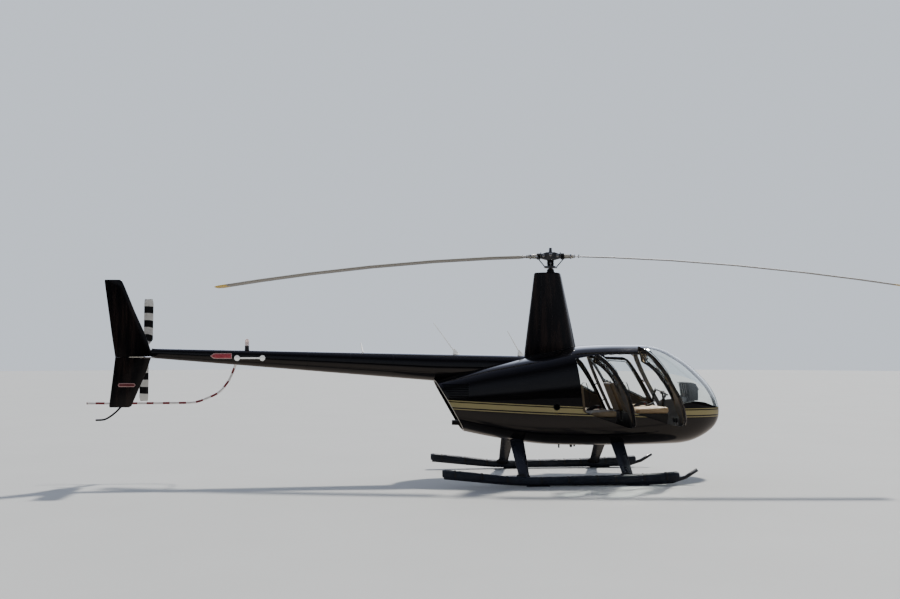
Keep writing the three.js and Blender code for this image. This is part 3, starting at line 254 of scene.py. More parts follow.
def body_paint(striped):
    """Gloss black, with road dust on it, and the gold stripe where the place on the body says."""
    paint = Shader("striped_black_paint" if striped else "black_paint", BLACK, 0.1, 0, 1.0, 0.02)
    paint.set("Specular IOR Level", 0.1)
    place = paint.coordinates("place" if striped else None)
    dust = paint.noise(place, 2.3, 6, 0.62)
    fine = paint.noise(place, 34, 5, 0.6)
    film = paint.math("MULTIPLY", dust, fine)
    base = paint.blend(paint.spread(film, 0.18, 0.5, 0.0, 0.5), BLACK, (0.011, 0.0095, 0.0085))
    if striped:
        split = paint.add("ShaderNodeSeparateXYZ")
        paint.join(place, split.inputs[0])
        along, height = split.outputs["X"], split.outputs["Z"]
        first, last = STRIPE_LINE[0][0], STRIPE_LINE[-1][0]
        ramp = paint.add("ShaderNodeFloatCurve")
        curve = ramp.mapping.curves[0]
        points = [((x - first) / (last - first), z - 0.5) for x, z in STRIPE_LINE]
        while len(curve.points) < len(points):
            curve.points.new(0.5, 0.5)
        for point, (x, z) in zip(curve.points, points):
            point.location = (x, z)
        ramp.mapping.update()
        paint.join(paint.spread(along, first, last, 0.0, 1.0), ramp.inputs["Value"])
        middle = paint.math("ADD", ramp.outputs["Value"], 0.5)
        over = paint.math("SUBTRACT", height, middle)
        band = paint.within(over, 0.0, STRIPE_BAND)
        upper = paint.within(over, PINSTRIPE_OFFSET, PINSTRIPE_HALF)
        lower = paint.within(over, -PINSTRIPE_OFFSET - 0.004, PINSTRIPE_HALF)
        gold = paint.math("MAXIMUM", band, paint.math("MAXIMUM", upper, lower))
        metal = paint.blend(paint.noise(place, 420, 2, 0.5), GOLD, tuple(0.8 * c for c in GOLD))
        base = paint.blend(gold, base, metal)
    paint.colour(base)
    paint.rough(paint.spread(film, 0.1, 0.6, 0.06, 0.2))
    paint.bump(paint.noise(place, 90, 2, 0.4), 0.02, 0.0006)
    return paint.material


def streaked_paint():
    """The same black on the fins and the mast fairing, with faint brown streaks that run upwards."""
    paint = Shader("streaked_black_paint", BLACK, 0.14, 0, 0.5, 0.04)
    paint.set("Specular IOR Level", 0.1)
    place = paint.coordinates(scale=(7, 7, 0.55))
    streak = paint.noise(place, 1.6, 5, 0.6)
    paint.colour(paint.blend(paint.spread(streak, 0.45, 0.72, 0.0, 1.0), BLACK, (0.026, 0.016, 0.013)))
    paint.rough(paint.spread(streak, 0.3, 0.7, 0.10, 0.26))
    paint.bump(paint.noise(paint.coordinates(), 90, 2, 0.4), 0.02, 0.0006)
    return paint.material


def glowing_aerial_white():
    """White aerial enamel with a painted glow, so that it stays light in the shade."""
    paint = Shader("glowing_aerial_white", (0.85, 0.85, 0.83), 0.35, 0, 0.3, 0.1)
    film = paint.noise(paint.coordinates(), 6, 5, 0.6)
    tone = paint.blend(paint.spread(film, 0.45, 0.8, 0.0, 0.7), (0.85, 0.85, 0.83), (0.74, 0.73, 0.69))
    paint.colour(tone)
    # Painted glow: the enamel gives off a faint light of its own tone, though it is no lamp.
    paint.join(tone, paint.surface.inputs["Emission Color"])
    paint.set("Emission Strength", 0.28)
    paint.rough(paint.spread(film, 0.3, 0.8, 0.28, 0.48))
    return paint.material


def clear_glass(name="clear_pane", tint=(0.93, 0.965, 0.96)):
    """Acrylic sheet that lets light through to the cabin, with a faint film in places."""
    glass = Shader(name, tint, 0.0)
    glass.set("Transmission Weight", 1.0)
    glass.set("IOR", 1.45)
    film = glass.noise(glass.coordinates(), 3.2, 5, 0.6)
    glass.rough(glass.spread(film, 0.5, 0.75, 0.0, 0.03))
    clear = glass.add("ShaderNodeBsdfTransparent", {"Color": (*tint, 1)})
    path = glass.add("ShaderNodeLightPath")
    mix = glass.add("ShaderNodeMixShader")
    glass.join(path.outputs["Is Shadow Ray"], mix.inputs[0])
    glass.join(glass.surface.outputs[0], mix.inputs[1])
    glass.join(clear.outputs[0], mix.inputs[2])
    glass.join(mix.outputs[0], glass.nodes["Material Output"].inputs["Surface"])
    return glass.material


def leather(name, colour, dark):
    """Smooth leather with a fine grain and a slightly uneven tone."""
    hide = Shader(name, colour, 0.5)
    place = hide.coordinates()
    grain = hide.add("ShaderNodeTexVoronoi", {"Scale": 260.0}, feature="DISTANCE_TO_EDGE")
    hide.join(place, grain.inputs["Vector"])
    worn = hide.noise(place, 5.5, 5, 0.6)
    base = hide.blend(hide.spread(worn, 0.35, 0.7, 0.0, 1.0), colour, dark)
    pores = hide.spread(grain.outputs["Distance"], 0.0, 0.12, 1.0, 0.0)
    hide.colour(hide.blend(hide.math("MULTIPLY", pores, 0.25), base, dark))
    hide.rough(hide.spread(worn, 0.3, 0.8, 0.42, 0.6))
    hide.bump(grain.outputs["Distance"], 0.25, 0.0008)
    hide.set("Sheen Weight", 0.08)
    return hide.material


def moulded(name, colour, roughness, scale=320):
    """Moulded plastic or textured paint with a fine pebble grain."""
    plastic = Shader(name, colour, roughness)
    place = plastic.coordinates()
    pebble = plastic.noise(place, scale, 3, 0.6)
    scuff = plastic.noise(place, 7, 6, 0.65)
    light = tuple(min(1, 1.5 * c + 0.004) for c in colour)
    plastic.colour(plastic.blend(plastic.spread(scuff, 0.45, 0.75, 0.0, 0.7), colour, light))
    plastic.rough(plastic.spread(scuff, 0.3, 0.75, roughness - 0.06, roughness + 0.1))
    plastic.bump(pebble, 0.35, 0.0006)
    return plastic.material


def metal(name, colour, roughness, grain=180):
    """Bare or plated metal with fine brush marks along one way."""
    bare = Shader(name, colour, roughness, 1.0)
    place = bare.coordinates()
    brushed = bare.noise(place, grain, 4, 0.6)
    stain = bare.noise(place, 6, 5, 0.6)
    bare.colour(
        bare.blend(bare.spread(stain, 0.4, 0.8, 0.0, 0.8), colour, tuple(0.55 * c for c in colour))
    )
    bare.rough(bare.spread(brushed, 0.3, 0.7, roughness - 0.08, roughness + 0.14))
    bare.bump(brushed, 0.12, 0.0003)
    return bare.material


def satin_paint(name, colour, roughness=0.32):
    """Sprayed paint with faint orange peel, thinned by handling in places."""
    paint = Shader(name, colour, roughness, 0, 0.3, 0.1)
    place = paint.coordinates()
    film = paint.noise(place, 4.5, 6, 0.65)
    worn = tuple(min(1, 1.7 * c + 0.01) for c in colour)
    paint.colour(paint.blend(paint.spread(film, 0.45, 0.8, 0.0, 0.6), colour, worn))
    paint.rough(paint.spread(film, 0.3, 0.8, roughness - 0.06, roughness + 0.16))
    paint.bump(paint.noise(place, 160, 2, 0.5), 0.05, 0.0004)
    return paint.material


def coated_cloth(name, colour):
    """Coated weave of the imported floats: dull, with dust in its folds."""
    cloth = Shader(name, colour, 0.5)
    cloth.set("Specular IOR Level", 0.38)
    place = cloth.coordinates()
    weave = cloth.add("ShaderNodeTexWave", {"Scale": 180.0, "Distortion": 0.6, "Detail": 1.0})
    cloth.join(place, weave.inputs["Vector"])
    cross = cloth.add(
        "ShaderNodeTexWave", {"Scale": 180.0, "Distortion": 0.6, "Detail": 1.0}, bands_direction="Z"
    )
    cloth.join(place, cross.inputs["Vector"])
    dust = cloth.noise(place, 5, 6, 0.65)
    dusty = tuple(1.5 * c + 0.012 for c in colour)
    cloth.colour(cloth.blend(cloth.spread(dust, 0.42, 0.75, 0.0, 0.8), colour, dusty))
    cloth.rough(cloth.spread(dust, 0.3, 0.8, 0.38, 0.66))
    cloth.bump(cloth.math("ADD", weave.outputs["Fac"], cross.outputs["Fac"]), 0.2, 0.0008)
    return cloth.material


def pale_floor():
    """Pale floor; the paint mirrors it darker and warmer, and darker still far away."""
    floor = Shader("pale_floor", (0.52, 0.53, 0.51), 0.75)
    place = floor.coordinates()
    mottle = floor.noise(place, 0.5, 6, 0.6)
    pale = floor.blend(mottle, (0.5, 0.51, 0.49), (0.56, 0.57, 0.55))
    away = floor.add("ShaderNodeVectorMath", operation="LENGTH")
    floor.join(place, away.inputs[0])
    far = floor.spread(away.outputs["Value"], 4.0, 22.0, 0.0, 1.0)
    mirrored = floor.blend(far, (0.27, 0.235, 0.20), (0.035, 0.033, 0.03))
    path = floor.add("ShaderNodeLightPath")
    bounced = floor.math("SUBTRACT", path.outputs["Is Glossy Ray"], path.outputs["Is Transmission Ray"])
    floor.colour(floor.blend(bounced, pale, mirrored))
    return floor.material


def by_distance(name, colours, period, shift, core=None):
    """Two colours that alternate along the piece's own "along" value, from an end inwards."""
    roughness = 0.34
    paint = Shader(name, colours[0], roughness, 0, 0.5, 0.06)
    along = paint.add("ShaderNodeAttribute", attribute_name="along").outputs["Fac"]
    place = paint.coordinates()
    share = paint.math("FRACT", paint.math("DIVIDE", paint.math("ADD", along, shift), period[0]))
    edge = period[1] / period[0]
    which = paint.spread(share, edge - 0.004, edge + 0.004, 0.0, 1.0)
    shade = paint.blend(which, colours[0], colours[1])
    if core:
        reach, colour = core
        shade = paint.blend(paint.spread(along, reach - 0.001, reach + 0.001, 0.0, 1.0), shade, colour)
    film = paint.noise(place, 11, 6, 0.65)
    grime = paint.add("ShaderNodeMix", data_type="RGBA", blend_type="MULTIPLY")
    paint.join(paint.spread(film, 0.4, 0.75, 0.0, 0.35), grime.inputs[0])
    paint.join(shade, grime.inputs[6])
    grime.inputs[7].default_value = (0.55, 0.5, 0.45, 1)
    paint.colour(grime.outputs[2])
    paint.rough(paint.spread(film, 0.3, 0.8, roughness - 0.08, roughness + 0.14))
    return paint.material


def blade_paint():
    """Satin grey blade, darker on its underside as painted shade, with a gold tip."""
    paint = Shader("blade_paint", (0.30, 0.28, 0.24), 0.36, 0, 0.3, 0.1)
    along = paint.add("ShaderNodeAttribute", attribute_name="along").outputs["Fac"]
    place = paint.coordinates(scale=(0.3, 4, 4))
    film = paint.noise(place, 6, 6, 0.6)
    base = paint.blend(paint.spread(film, 0.4, 0.8, 0.0, 0.7), (0.46, 0.43, 0.37), (0.55, 0.51, 0.43))
    split = paint.add("ShaderNodeSeparateXYZ")
    paint.join(paint.add("ShaderNodeNewGeometry").outputs["Normal"], split.inputs[0])
    # Painted shade: faces that point downwards take a darker tone.
    above = paint.spread(split.outputs["Z"], -0.55, -0.25, 0.0, 1.0)
    tip = paint.spread(along, 4.958, 4.962, 0.0, 1.0)
    tone = paint.blend(above, (0.22, 0.205, 0.175), base)
    paint.colour(paint.blend(tip, tone, (0.62, 0.40, 0.045)))
    paint.rough(paint.spread(film, 0.3, 0.8, 0.28, 0.5))
    return paint.material


MATERIALS = {
    "stripes": body_paint(True),
    "black": body_paint(False),
    "streaked": streaked_paint(),
    "aerial": glowing_aerial_white(),
    "glass": clear_glass(),
    "tan": leather("tan_leather", (0.46, 0.31, 0.165), (0.33, 0.215, 0.11)),
    # The next two are darker copies of the tan leather: painted shade for the seat backs, the rear
    # cushions and the door cards' welts.
    "tan_in_shade": leather("seat_back_leather_in_shade", (0.20, 0.14, 0.075), (0.13, 0.09, 0.045)),
    "rear_tan_in_shade": leather("rear_seat_leather_in_shade", (0.24, 0.175, 0.10), (0.16, 0.115, 0.06)),
    "card": leather("door_card_leather", (0.032, 0.025, 0.017), (0.021, 0.017, 0.012)),
    "webbing": moulded("belt_webbing", (0.014, 0.014, 0.016), 0.8, 700),
    "placard": satin_paint("placard_red", (0.42, 0.045, 0.06), 0.35),
    "placard_dark": satin_paint("placard_dark", (0.13, 0.014, 0.018), 0.35),
    "placard_edge": satin_paint("placard_edge", (0.55, 0.30, 0.28), 0.35),
    "bright": metal("bright_steel", (0.72, 0.73, 0.75), 0.2),
    "trim": moulded("dark_trim", (0.019, 0.017, 0.015), 0.6),
    "lining": moulded("grey_lining", (0.11, 0.105, 0.10), 0.85, 140),
    "carpet": moulded("dark_carpet", (0.02, 0.021, 0.023), 0.95, 520),
    "plastic": moulded("dark_plastic", (0.012, 0.012, 0.014), 0.5),
    "rubber": moulded("black_rubber", (0.008, 0.008, 0.009), 0.7, 260),
    "steel": metal("bare_steel", (0.42, 0.43, 0.45), 0.32),
    "cast": metal("cast_grey", (0.20, 0.20, 0.21), 0.5, grain=60),
    "rotor": satin_paint("rotor_grey", (0.035, 0.038, 0.044)),
    "gear": satin_paint("gear_black", (0.008, 0.010, 0.016), 0.26),
    "cloth": coated_cloth("float_fabric", (0.010, 0.015, 0.026)),
    "white": satin_paint("white_paint", (0.78, 0.78, 0.75), 0.3),
    "guard": by_distance(
        "guard_bands", ((0.86, 0.80, 0.77), (0.20, 0.012, 0.016)), (0.237, 0.132), 0.2265
    ),
    "tail_blade": by_distance(
        "tail_blade_bands",
        ((0.90, 0.86, 0.78), (0.006, 0.006, 0.007)),
        (0.205, 0.105),
        0.0,
        core=(0.66, (0.03, 0.031, 0.034)),
    ),
    "blade": blade_paint(),
    "smoky": clear_glass("smoky_lens", (0.55, 0.42, 0.40)),
    "soot": metal("sooted_steel", (0.035, 0.032, 0.030), 0.55),
    # Cream for thin strips that are painted highlights: along the cowls' aft edge and on the stabiliser's
    # tip.
    "cream": satin_paint("cream_painted_highlight", (0.55, 0.50, 0.41), 0.4),
    "dial": moulded("dial_black", (0.006, 0.006, 0.008), 0.3, 500),
    "lamp": clear_glass("lamp_bulb", (0.95, 0.9, 0.75)),
    "floor": pale_floor(),
}


# Shapes


def publish(mesh, name, body, materials, stands_for=()):
    """Makes an object of a mesh, gives it its finish and its body, and hides what it stands for."""
    piece = bpy.data.objects.new(name, mesh)
    mesh.name = name
    for material in materials:
        mesh.materials.append(MATERIALS[material])
    bpy.context.scene.collection.objects.link(piece)
    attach(piece, body)
    if stands_for:
        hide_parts(*stands_for)
    return piece


def mesh_of(bm, smooth_angle):
    """Turns a bmesh into a mesh with edges sharper than an angle left crisp."""
    mesh = bpy.data.meshes.new("piece")
    bm.to_mesh(mesh)
    bm.free()
    mesh.shade_smooth()
    mesh.set_sharp_from_angle(angle=math.radians(smooth_angle))
    return mesh


def merged_copy(node):
    """A merged bmesh of a CAD node."""
    bm = bmesh.new()
    bm.from_mesh(frame["nodes"][node].data)
    bmesh.ops.remove_doubles(bm, verts=bm.verts, dist=2e-5)
    return bm


def carry_over(node, body, material, bevel=0.0, measure=None):
    """A CAD node as it is, merged so that its round faces are smooth."""
    bm = merged_copy(node)
    bmesh.ops.dissolve_limit(bm, angle_limit=math.radians(0.1), verts=bm.verts, edges=bm.edges)
    if bevel:
        round_edges(bm, bevel, 2, 40)
    bmesh.ops.triangulate(bm, faces=bm.faces)
    mesh = mesh_of(bm, 32)
    if measure:
        store_along(mesh, measure)
    return publish(mesh, f"{node}_finish", body, [material], (node,))


def store_along(mesh, measure):
    """Stores, for each point, the distance that a measure gives for its place on the aircraft."""
    along = mesh.attributes.new("along", "FLOAT", "POINT")
    for vert, value in zip(mesh.vertices, along.data):
        value.value = measure(vert.co - ORIGIN)


class Build:
    """The shapes of one new piece, each with its material, in the aircraft's own frame."""

    def __init__(self):
        self.bm = bmesh.new()
        self.materials = []

    def add(self, part, material, move=None):
        if material not in self.materials:
            self.materials.append(material)
        if move is not None:
            bmesh.ops.transform(part, matrix=move, verts=part.verts)
        index = self.materials.index(material)
        for face in part.faces:
            face.material_index = index
        mesh = bpy.data.meshes.new("part")
        part.to_mesh(mesh)
        part.free()
        self.bm.from_mesh(mesh)
        bpy.data.meshes.remove(mesh)
        return self

    def put(self, material, make, *measures, move=None):
        """Adds a shape that one of the functions below makes from its measures."""
        return self.add(make(*measures), material, move)

    def across(self, material, x, z, start, end, *measures):
        """Adds a rod that lies across the machine, from one Y to another."""
        return self.put(material, rod, (x, start, z), (x, end, z), *measures)

    def upright(self, material, x, y, start, end, *measures):
        """Adds a rod that stands between two heights."""
        return self.put(material, rod, (x, y, start), (x, y, end), *measures)

    def lathed(self, material, profile, x, y, z, sides):
        """Adds a form turned about an upright line."""
        return self.put(material, turned, profile, (x, y, z), (x, y, z + 1), sides)

    def finish(self, name, body, slot, stands_for=(), smooth_angle=35.0, move=None, measure=None):
        if move is not None:
            bmesh.ops.transform(self.bm, matrix=move, verts=self.bm.verts)
        bmesh.ops.translate(self.bm, vec=ORIGIN, verts=self.bm.verts)
        mesh = mesh_of(self.bm, smooth_angle)
        if measure:
            store_along(mesh, measure)
        return publish(mesh, name, body, self.materials, stands_for)


def round_edges(bm, width, segments=2, least=35.0):
    """Bevels every edge sharper than an angle."""
    edges = [e for e in bm.edges if e.is_manifold and e.calc_face_angle() > math.radians(least)]
    bmesh.ops.bevel(
        bm,
        geom=edges,
        offset=width,
        offset_type="OFFSET",
        segments=segments,
        profile=0.5,
        affect="EDGES",
        material=-1,
        clamp_overlap=True,
    )
    return bm


def block(low, high, bevel=0.0):
    """A block between two corners with eased edges."""
    bm = bmesh.new()
    bmesh.ops.create_cube(bm, size=1)
    size = [b - a for a, b in zip(low, high)]
    middle = Vector([(a + b) / 2 for a, b in zip(low, high)])
    bmesh.ops.scale(bm, vec=size, verts=bm.verts)
    bmesh.ops.translate(bm, vec=middle, verts=bm.verts)
    return round_edges(bm, bevel) if bevel else bm


def rod(start, end, radius, end_radius, sides, bevel=0.0):
    """A round rod between two points, tapered when the two radii differ."""
    start, end = Vector(start), Vector(end)
    bm = bmesh.new()
    bmesh.ops.create_cone(
        bm,
        cap_ends=True,
        segments=sides,
        radius1=radius,
        radius2=end_radius,
        depth=(end - start).length,
    )
    turn = (end - start).to_track_quat("Z", "Y").to_matrix().to_4x4()
    bmesh.ops.transform(bm, matrix=Matrix.Translation((start + end) / 2) @ turn, verts=bm.verts)
    return round_edges(bm, bevel, 2, 50) if bevel else bm


def turned(profile, start, toward, sides):
    """A form turned on a lathe: (radius, distance) along the line from a start toward a point."""
    bm = bmesh.new()
    verts = [bm.verts.new((radius, 0, along)) for radius, along in profile]
    edges = [bm.edges.new(pair) for pair in zip(verts, verts[1:])]
    bmesh.ops.spin(
        bm,
        geom=verts + edges,
        cent=(0, 0, 0),
        axis=(0, 0, 1),
        angle=2 * math.pi,
        steps=sides,
        use_merge=True,
    )
    bmesh.ops.remove_doubles(bm, verts=bm.verts, dist=1e-6)
    bmesh.ops.recalc_face_normals(bm, faces=bm.faces)
    start, toward = Vector(start), Vector(toward)
    turn = (toward - start).to_track_quat("Z", "Y").to_matrix().to_4x4()
    bmesh.ops.transform(bm, matrix=Matrix.Translation(start) @ turn, verts=bm.verts)
    return bm


def pipe(points, radius, sides, smooth=True):
    """A round tube along a line through points, with closed ends."""
    curve = bpy.data.curves.new("pipe", "CURVE")
    curve.dimensions = "3D"
    curve.bevel_depth = radius
    curve.bevel_resolution = max(1, sides // 2 - 2)
    curve.use_fill_caps = True
    spline = curve.splines.new("NURBS" if smooth else "POLY")
    spline.points.add(len(points) - 1)
    for knot, point in zip(spline.points, points):
        knot.co = (*point, 1)
    if smooth:
        spline.order_u = min(4, len(points))
        spline.use_endpoint_u = True
        spline.resolution_u = 6
    holder = bpy.data.objects.new("pipe", curve)
    mesh = bpy.data.meshes.new_from_object(holder)
    bm = bmesh.new()
    bm.from_mesh(mesh)
    bpy.data.objects.remove(holder)
    bpy.data.curves.remove(curve)
    bpy.data.meshes.remove(mesh)
    bmesh.ops.remove_doubles(bm, verts=bm.verts, dist=1e-6)
    return bm


def hoop(line, radius, sides):
    """A round tube along a closed line."""
    return pipe(line + line[:1], radius, sides, False)


def loft(rings):
    """A skin through rings of points, closed at both ends."""
    bm = bmesh.new()
    loops = []
    for ring in rings:
        verts = [bm.verts.new(point) for point in ring]
        loops.append([bm.edges.new(pair) for pair in zip(verts, verts[1:] + verts[:1])])
    for first, second in zip(loops, loops[1:]):
        bmesh.ops.bridge_loops(bm, edges=first + second)
    for loop in (loops[0], loops[-1]):
        bmesh.ops.contextual_create(bm, geom=loop)
    bmesh.ops.recalc_face_normals(bm, faces=bm.faces)
    return bm


def sheet(outline, thickness, bevel=0.0):
    """A flat plate with an outline in X and Y, thickened upwards from Z nought."""
    bm = bmesh.new()
    face = bm.faces.new([bm.verts.new((x, y, 0)) for x, y in outline])
    made = bmesh.ops.extrude_face_region(bm, geom=[face])
    tops = [item for item in made["geom"] if isinstance(item, bmesh.types.BMVert)]
    bmesh.ops.translate(bm, vec=(0, 0, thickness), verts=tops)
    bmesh.ops.recalc_face_normals(bm, faces=bm.faces)
    return round_edges(bm, bevel, 2, 50) if bevel else bm


# Body sections: x, z of the belly and roof, half width, z of the widest line,
# and how square the upper and lower halves are.
BODY_SECTIONS = (
    (-1.900, 0.825, 1.410, 0.385, 1.120, 2.4, 2.8),
    (-1.400, 0.704, 1.535, 0.462, 1.110, 2.5, 3.3),
    (-1.000, 0.620, 1.640, 0.528, 1.105, 2.6, 3.8),
    (-0.600, 0.552, 1.722, 0.578, 1.100, 2.7, 4.1),
    (-0.200, 0.503, 1.800, 0.615, 1.100, 2.8, 4.2),
    (0.100, 0.488, 1.872, 0.634, 1.100, 2.8, 4.2),
    (0.300, 0.482, 1.918, 0.641, 1.100, 2.8, 4.2),
    (0.700, 0.480, 1.950, 0.645, 1.100, 2.8, 4.2),
    (1.100, 0.480, 1.957, 0.640, 1.095, 2.85, 4.0),
    (1.433, 0.481, 1.947, 0.623, 1.080, 2.85, 3.7),
    (1.684, 0.483, 1.887, 0.588, 1.060, 2.75, 3.4),
    (1.880, 0.489, 1.787, 0.541, 1.035, 2.6, 3.1),
    (2.060, 0.515, 1.670, 0.481, 1.015, 2.5, 2.8),
    (2.220, 0.572, 1.531, 0.410, 0.995, 2.4, 2.6),
    (2.350, 0.640, 1.403, 0.331, 0.980, 2.3, 2.4),
    (2.440, 0.708, 1.283, 0.259, 0.970, 2.2, 2.3),
    (2.500, 0.785, 1.164, 0.186, 0.963, 2.1, 2.2),
    (2.535, 0.860, 1.055, 0.105, 0.960, 2.05, 2.1),
    (2.549, 0.925, 0.995, 0.038, 0.960, 2.0, 2.0),
)
# Where the nose begins and how long it is: an inset draws it back in proportion.
NOSE_START = 1.1
NOSE_LENGTH = 1.45


def smooth_sections():
    """The sections with smooth ones between them, spaced along the body's outline."""
    steps = 24
    rows = np.array(BODY_SECTIONS)
    reach = np.diff(rows[:, (0, 2, 3)], axis=0)
    along = np.concatenate([[0], np.cumsum(np.sqrt((reach**2).sum(1)))])
    slope = np.gradient(rows, along, axis=0)
    fine = []
    for i in range(len(rows) - 1):
        length = along[i + 1] - along[i]
        for t in np.arange(steps) / steps:
            fine.append(
                (2 * t**3 - 3 * t**2 + 1) * rows[i]
                + (t**3 - 2 * t**2 + t) * length * slope[i]
                + (3 * t**2 - 2 * t**3) * rows[i + 1]
                + (t**3 - t**2) * length * slope[i + 1]
            )
    fine.append(rows[-1])
    return np.array(fine)


FINE_SECTIONS = smooth_sections()


def body_level(points, inset):
    """How far out points lie on the body: 1 on its surface, drawn in by an inset."""
    x, y, z = points.T
    share = inset / NOSE_LENGTH
    source = np.where(x > NOSE_START, (x - NOSE_START * share) / (1 - share), x)
    table = FINE_SECTIONS
    belly, roof, half, widest, upper, lower = (
        np.interp(source, table[:, 0], table[:, column]) for column in range(1, 7)
    )
    above = z > widest
    power = np.where(above, upper, lower)
    tall = np.maximum(np.where(above, roof - widest, widest - belly) - inset, 0.012)
    wide = np.maximum(half - inset, 0.012)
    level = (np.abs(y / wide) ** power + np.abs((z - widest) / tall) ** power) ** (1 / power)
    return level, widest


def body_slope(points, inset):
    """The way out of the body's surface at points, and their distance from it."""
    step = 0.002
    level, _ = body_level(points, inset)
    slope = np.empty_like(points)
    for axis in range(3):
        shift = np.zeros(3)
        shift[axis] = step
        more, _ = body_level(points + shift, inset)
        less, _ = body_level(points - shift, inset)
        slope[:, axis] = (more - less) / (2 * step)
    length = np.linalg.norm(slope, axis=1)
    length[length < 1e-9] = 1
    return slope / length[:, None], (level - 1) / length


def body_sides(spots, side, lift):
    """The body's side at places given by x and z, moved out by a lift of each or of all."""
    spots = np.array(spots, dtype=float)
    points = np.stack([spots[:, 0], np.full(len(spots), 0.9), spots[:, 1]], axis=1)
    for _ in range(14):
        level, _ = body_level(points, 0.0)
        points[:, 1] /= np.clip(np.maximum(level, 1e-6) ** 2, 0.7, 1.4)
    way, away = body_slope(points, 0.0)
    points = points + way * (np.asarray(lift) - away)[:, None]
    points[:, 1] *= side
    return [Vector(point) for point in points]


def closed_place(door):
    """The move from the row's frame to the aircraft's, with an open door swung shut."""
    move = Matrix.Translation(-ORIGIN)
    if not door:
        return move
    hand, name = door
    joint = f"{hand}_{name}_door_swing"
    shut = Matrix.Rotation(-DOORS_OPEN[door], 4, joint_axis[joint])
    pin = Matrix.Translation(joint_at[joint])
    return move @ pin @ shut @ pin.inverted()


def split_long_edges(bm, longest, rounds=5):
    """Cuts every face until no edge is longer than asked."""
    bmesh.ops.triangulate(bm, faces=bm.faces)
    for _ in range(rounds):
        long = [edge for edge in bm.edges if edge.calc_length() > longest]
        if not long:
            return
        bmesh.ops.subdivide_edges(bm, edges=long, cuts=1)
        bmesh.ops.triangulate(bm, faces=bm.faces)


# Length of each hinge line, and how far up it the knuckles sit.
KNUCKLES = {"front": (0.588, (0.2, 0.8)), "rear": (0.528, (0.1, 0.62))}
KNUCKLE_REACH = 0.052


def near_knuckles(points):
    """True for the places at a hinge knuckle and its strap, which keep their own shape."""
    near = np.zeros(len(points), dtype=bool)
    for hand, _ in SIDES:
        for name, (length, stations) in KNUCKLES.items():
            axis = joint_axis[f"{hand}_{name}_door_swing"]
            foot = joint_at[f"{hand}_{name}_door_swing"] - ORIGIN
            up = axis * math.copysign(length, axis.z)
            for station in stations:
                away = np.linalg.norm(points - np.array(foot + up * station), axis=1)
                near |= away < KNUCKLE_REACH
    return near


OUTSIDE, INSIDE, EDGE = 0, 1, 2
# How far a facet may lie from the body form and still be drawn onto it, and how squarely it faces.
FACET_REACH = 0.016
FACING = 0.75
PANE = ("glass", "glass", "glass")


def fine_skin(node, body, outer, inner, materials, door=None):
    """A CAD shell whose facets are drawn onto the smooth body form, outside and inside."""
    move = closed_place(door)
    bm = merged_copy(node)
    bmesh.ops.transform(bm, matrix=move, verts=bm.verts)
    split_long_edges(bm, 0.055)
    bm.verts.index_update()
    bm.faces.index_update()
    bm.normal_update()
    points = np.array([vert.co for vert in bm.verts])
    middles = np.array([face.calc_center_median() for face in bm.faces])
    normals = np.array([face.normal for face in bm.faces])
    slope, _ = body_slope(middles, 0.0)
    facing = (normals * slope).sum(1)
    kind = np.full(len(bm.faces), EDGE)
    target = np.full(len(points), np.nan)
    layers = [(OUTSIDE, inset) for inset in outer] + [(INSIDE, inset) for inset in inner]
    best = np.full(len(bm.faces), FACET_REACH)
    chosen = np.full(len(bm.faces), np.nan)
    for which, inset in layers:
        _, away = body_slope(middles, inset)
        facing_right = facing > FACING if which == OUTSIDE else facing < -FACING
        nearer = facing_right & (np.abs(away) < best)
        best[nearer] = np.abs(away[nearer])
        kind[nearer] = which
        chosen[nearer] = inset
    for face in bm.faces:
        face.material_index = int(kind[face.index])
        if kind[face.index] != EDGE:
            for vert in face.verts:
                target[vert.index] = chosen[face.index]
    target[near_knuckles(points)] = np.nan
    for _, inset in layers:
        ours = np.where(target == inset)[0]
        if not len(ours):
            continue
        spots = points[ours]
        for _ in range(3):
            way, away = body_slope(spots, inset)
            spots = spots - way * np.clip(away, -0.02, 0.02)[:, None]
        points[ours] = spots
    bm.verts.ensure_lookup_table()
    for index in np.where(~np.isnan(target))[0]:
        bm.verts[index].co = points[index]
    mesh = bpy.data.meshes.new("piece")
    bm.to_mesh(mesh)
    bm.free()
    place = mesh.attributes.new("place", "FLOAT_VECTOR", "POINT")
    place.data.foreach_set("vector", points.astype(np.float32).ravel())
    back = move.inverted()
    mesh.transform(back)
    mesh.shade_smooth()
    mesh.set_sharp_from_angle(angle=math.radians(30))
    corner = np.empty(len(mesh.loops) * 3, dtype=np.float32)
    mesh.corner_normals.foreach_get("vector", corner)
    corner = corner.reshape(-1, 3)
    loop_vert = np.empty(len(mesh.loops), dtype=np.int32)
    mesh.loops.foreach_get("vertex_index", loop_vert)
    loop_face = np.repeat(np.arange(len(mesh.polygons)), [p.loop_total for p in mesh.polygons])
    turn = np.array(back.to_3x3())
    for which, inset in layers:
        ours = np.where((kind[loop_face] == which) & (chosen[loop_face] == inset))[0]
        if len(ours):
            way, _ = body_slope(points[loop_vert[ours]], inset)
            corner[ours] = (way * (1 if which == OUTSIDE else -1)) @ turn.T
    mesh.normals_split_custom_set(corner.tolist())
    return publish(mesh, f"{node}_skin", body, materials, (node,))


# The machine's own surfaces


def make_shells():
    """Cabin, roof and engine cowls."""
    shell = ("stripes", "lining", "black")
    fine_skin("cabin_tub", "airframe", [0], [0.04], ("stripes", "lining", "carpet"))
    fine_skin("cabin_roof", "airframe", [0], [0.034], shell)
    for hand, _ in SIDES:
        fine_skin(f"cowl_{hand}", "airframe", [0], [0.018], ("stripes", "black", "black"))
        fine_skin(f"windshield_{hand}", "airframe", [0], [0.006], PANE)


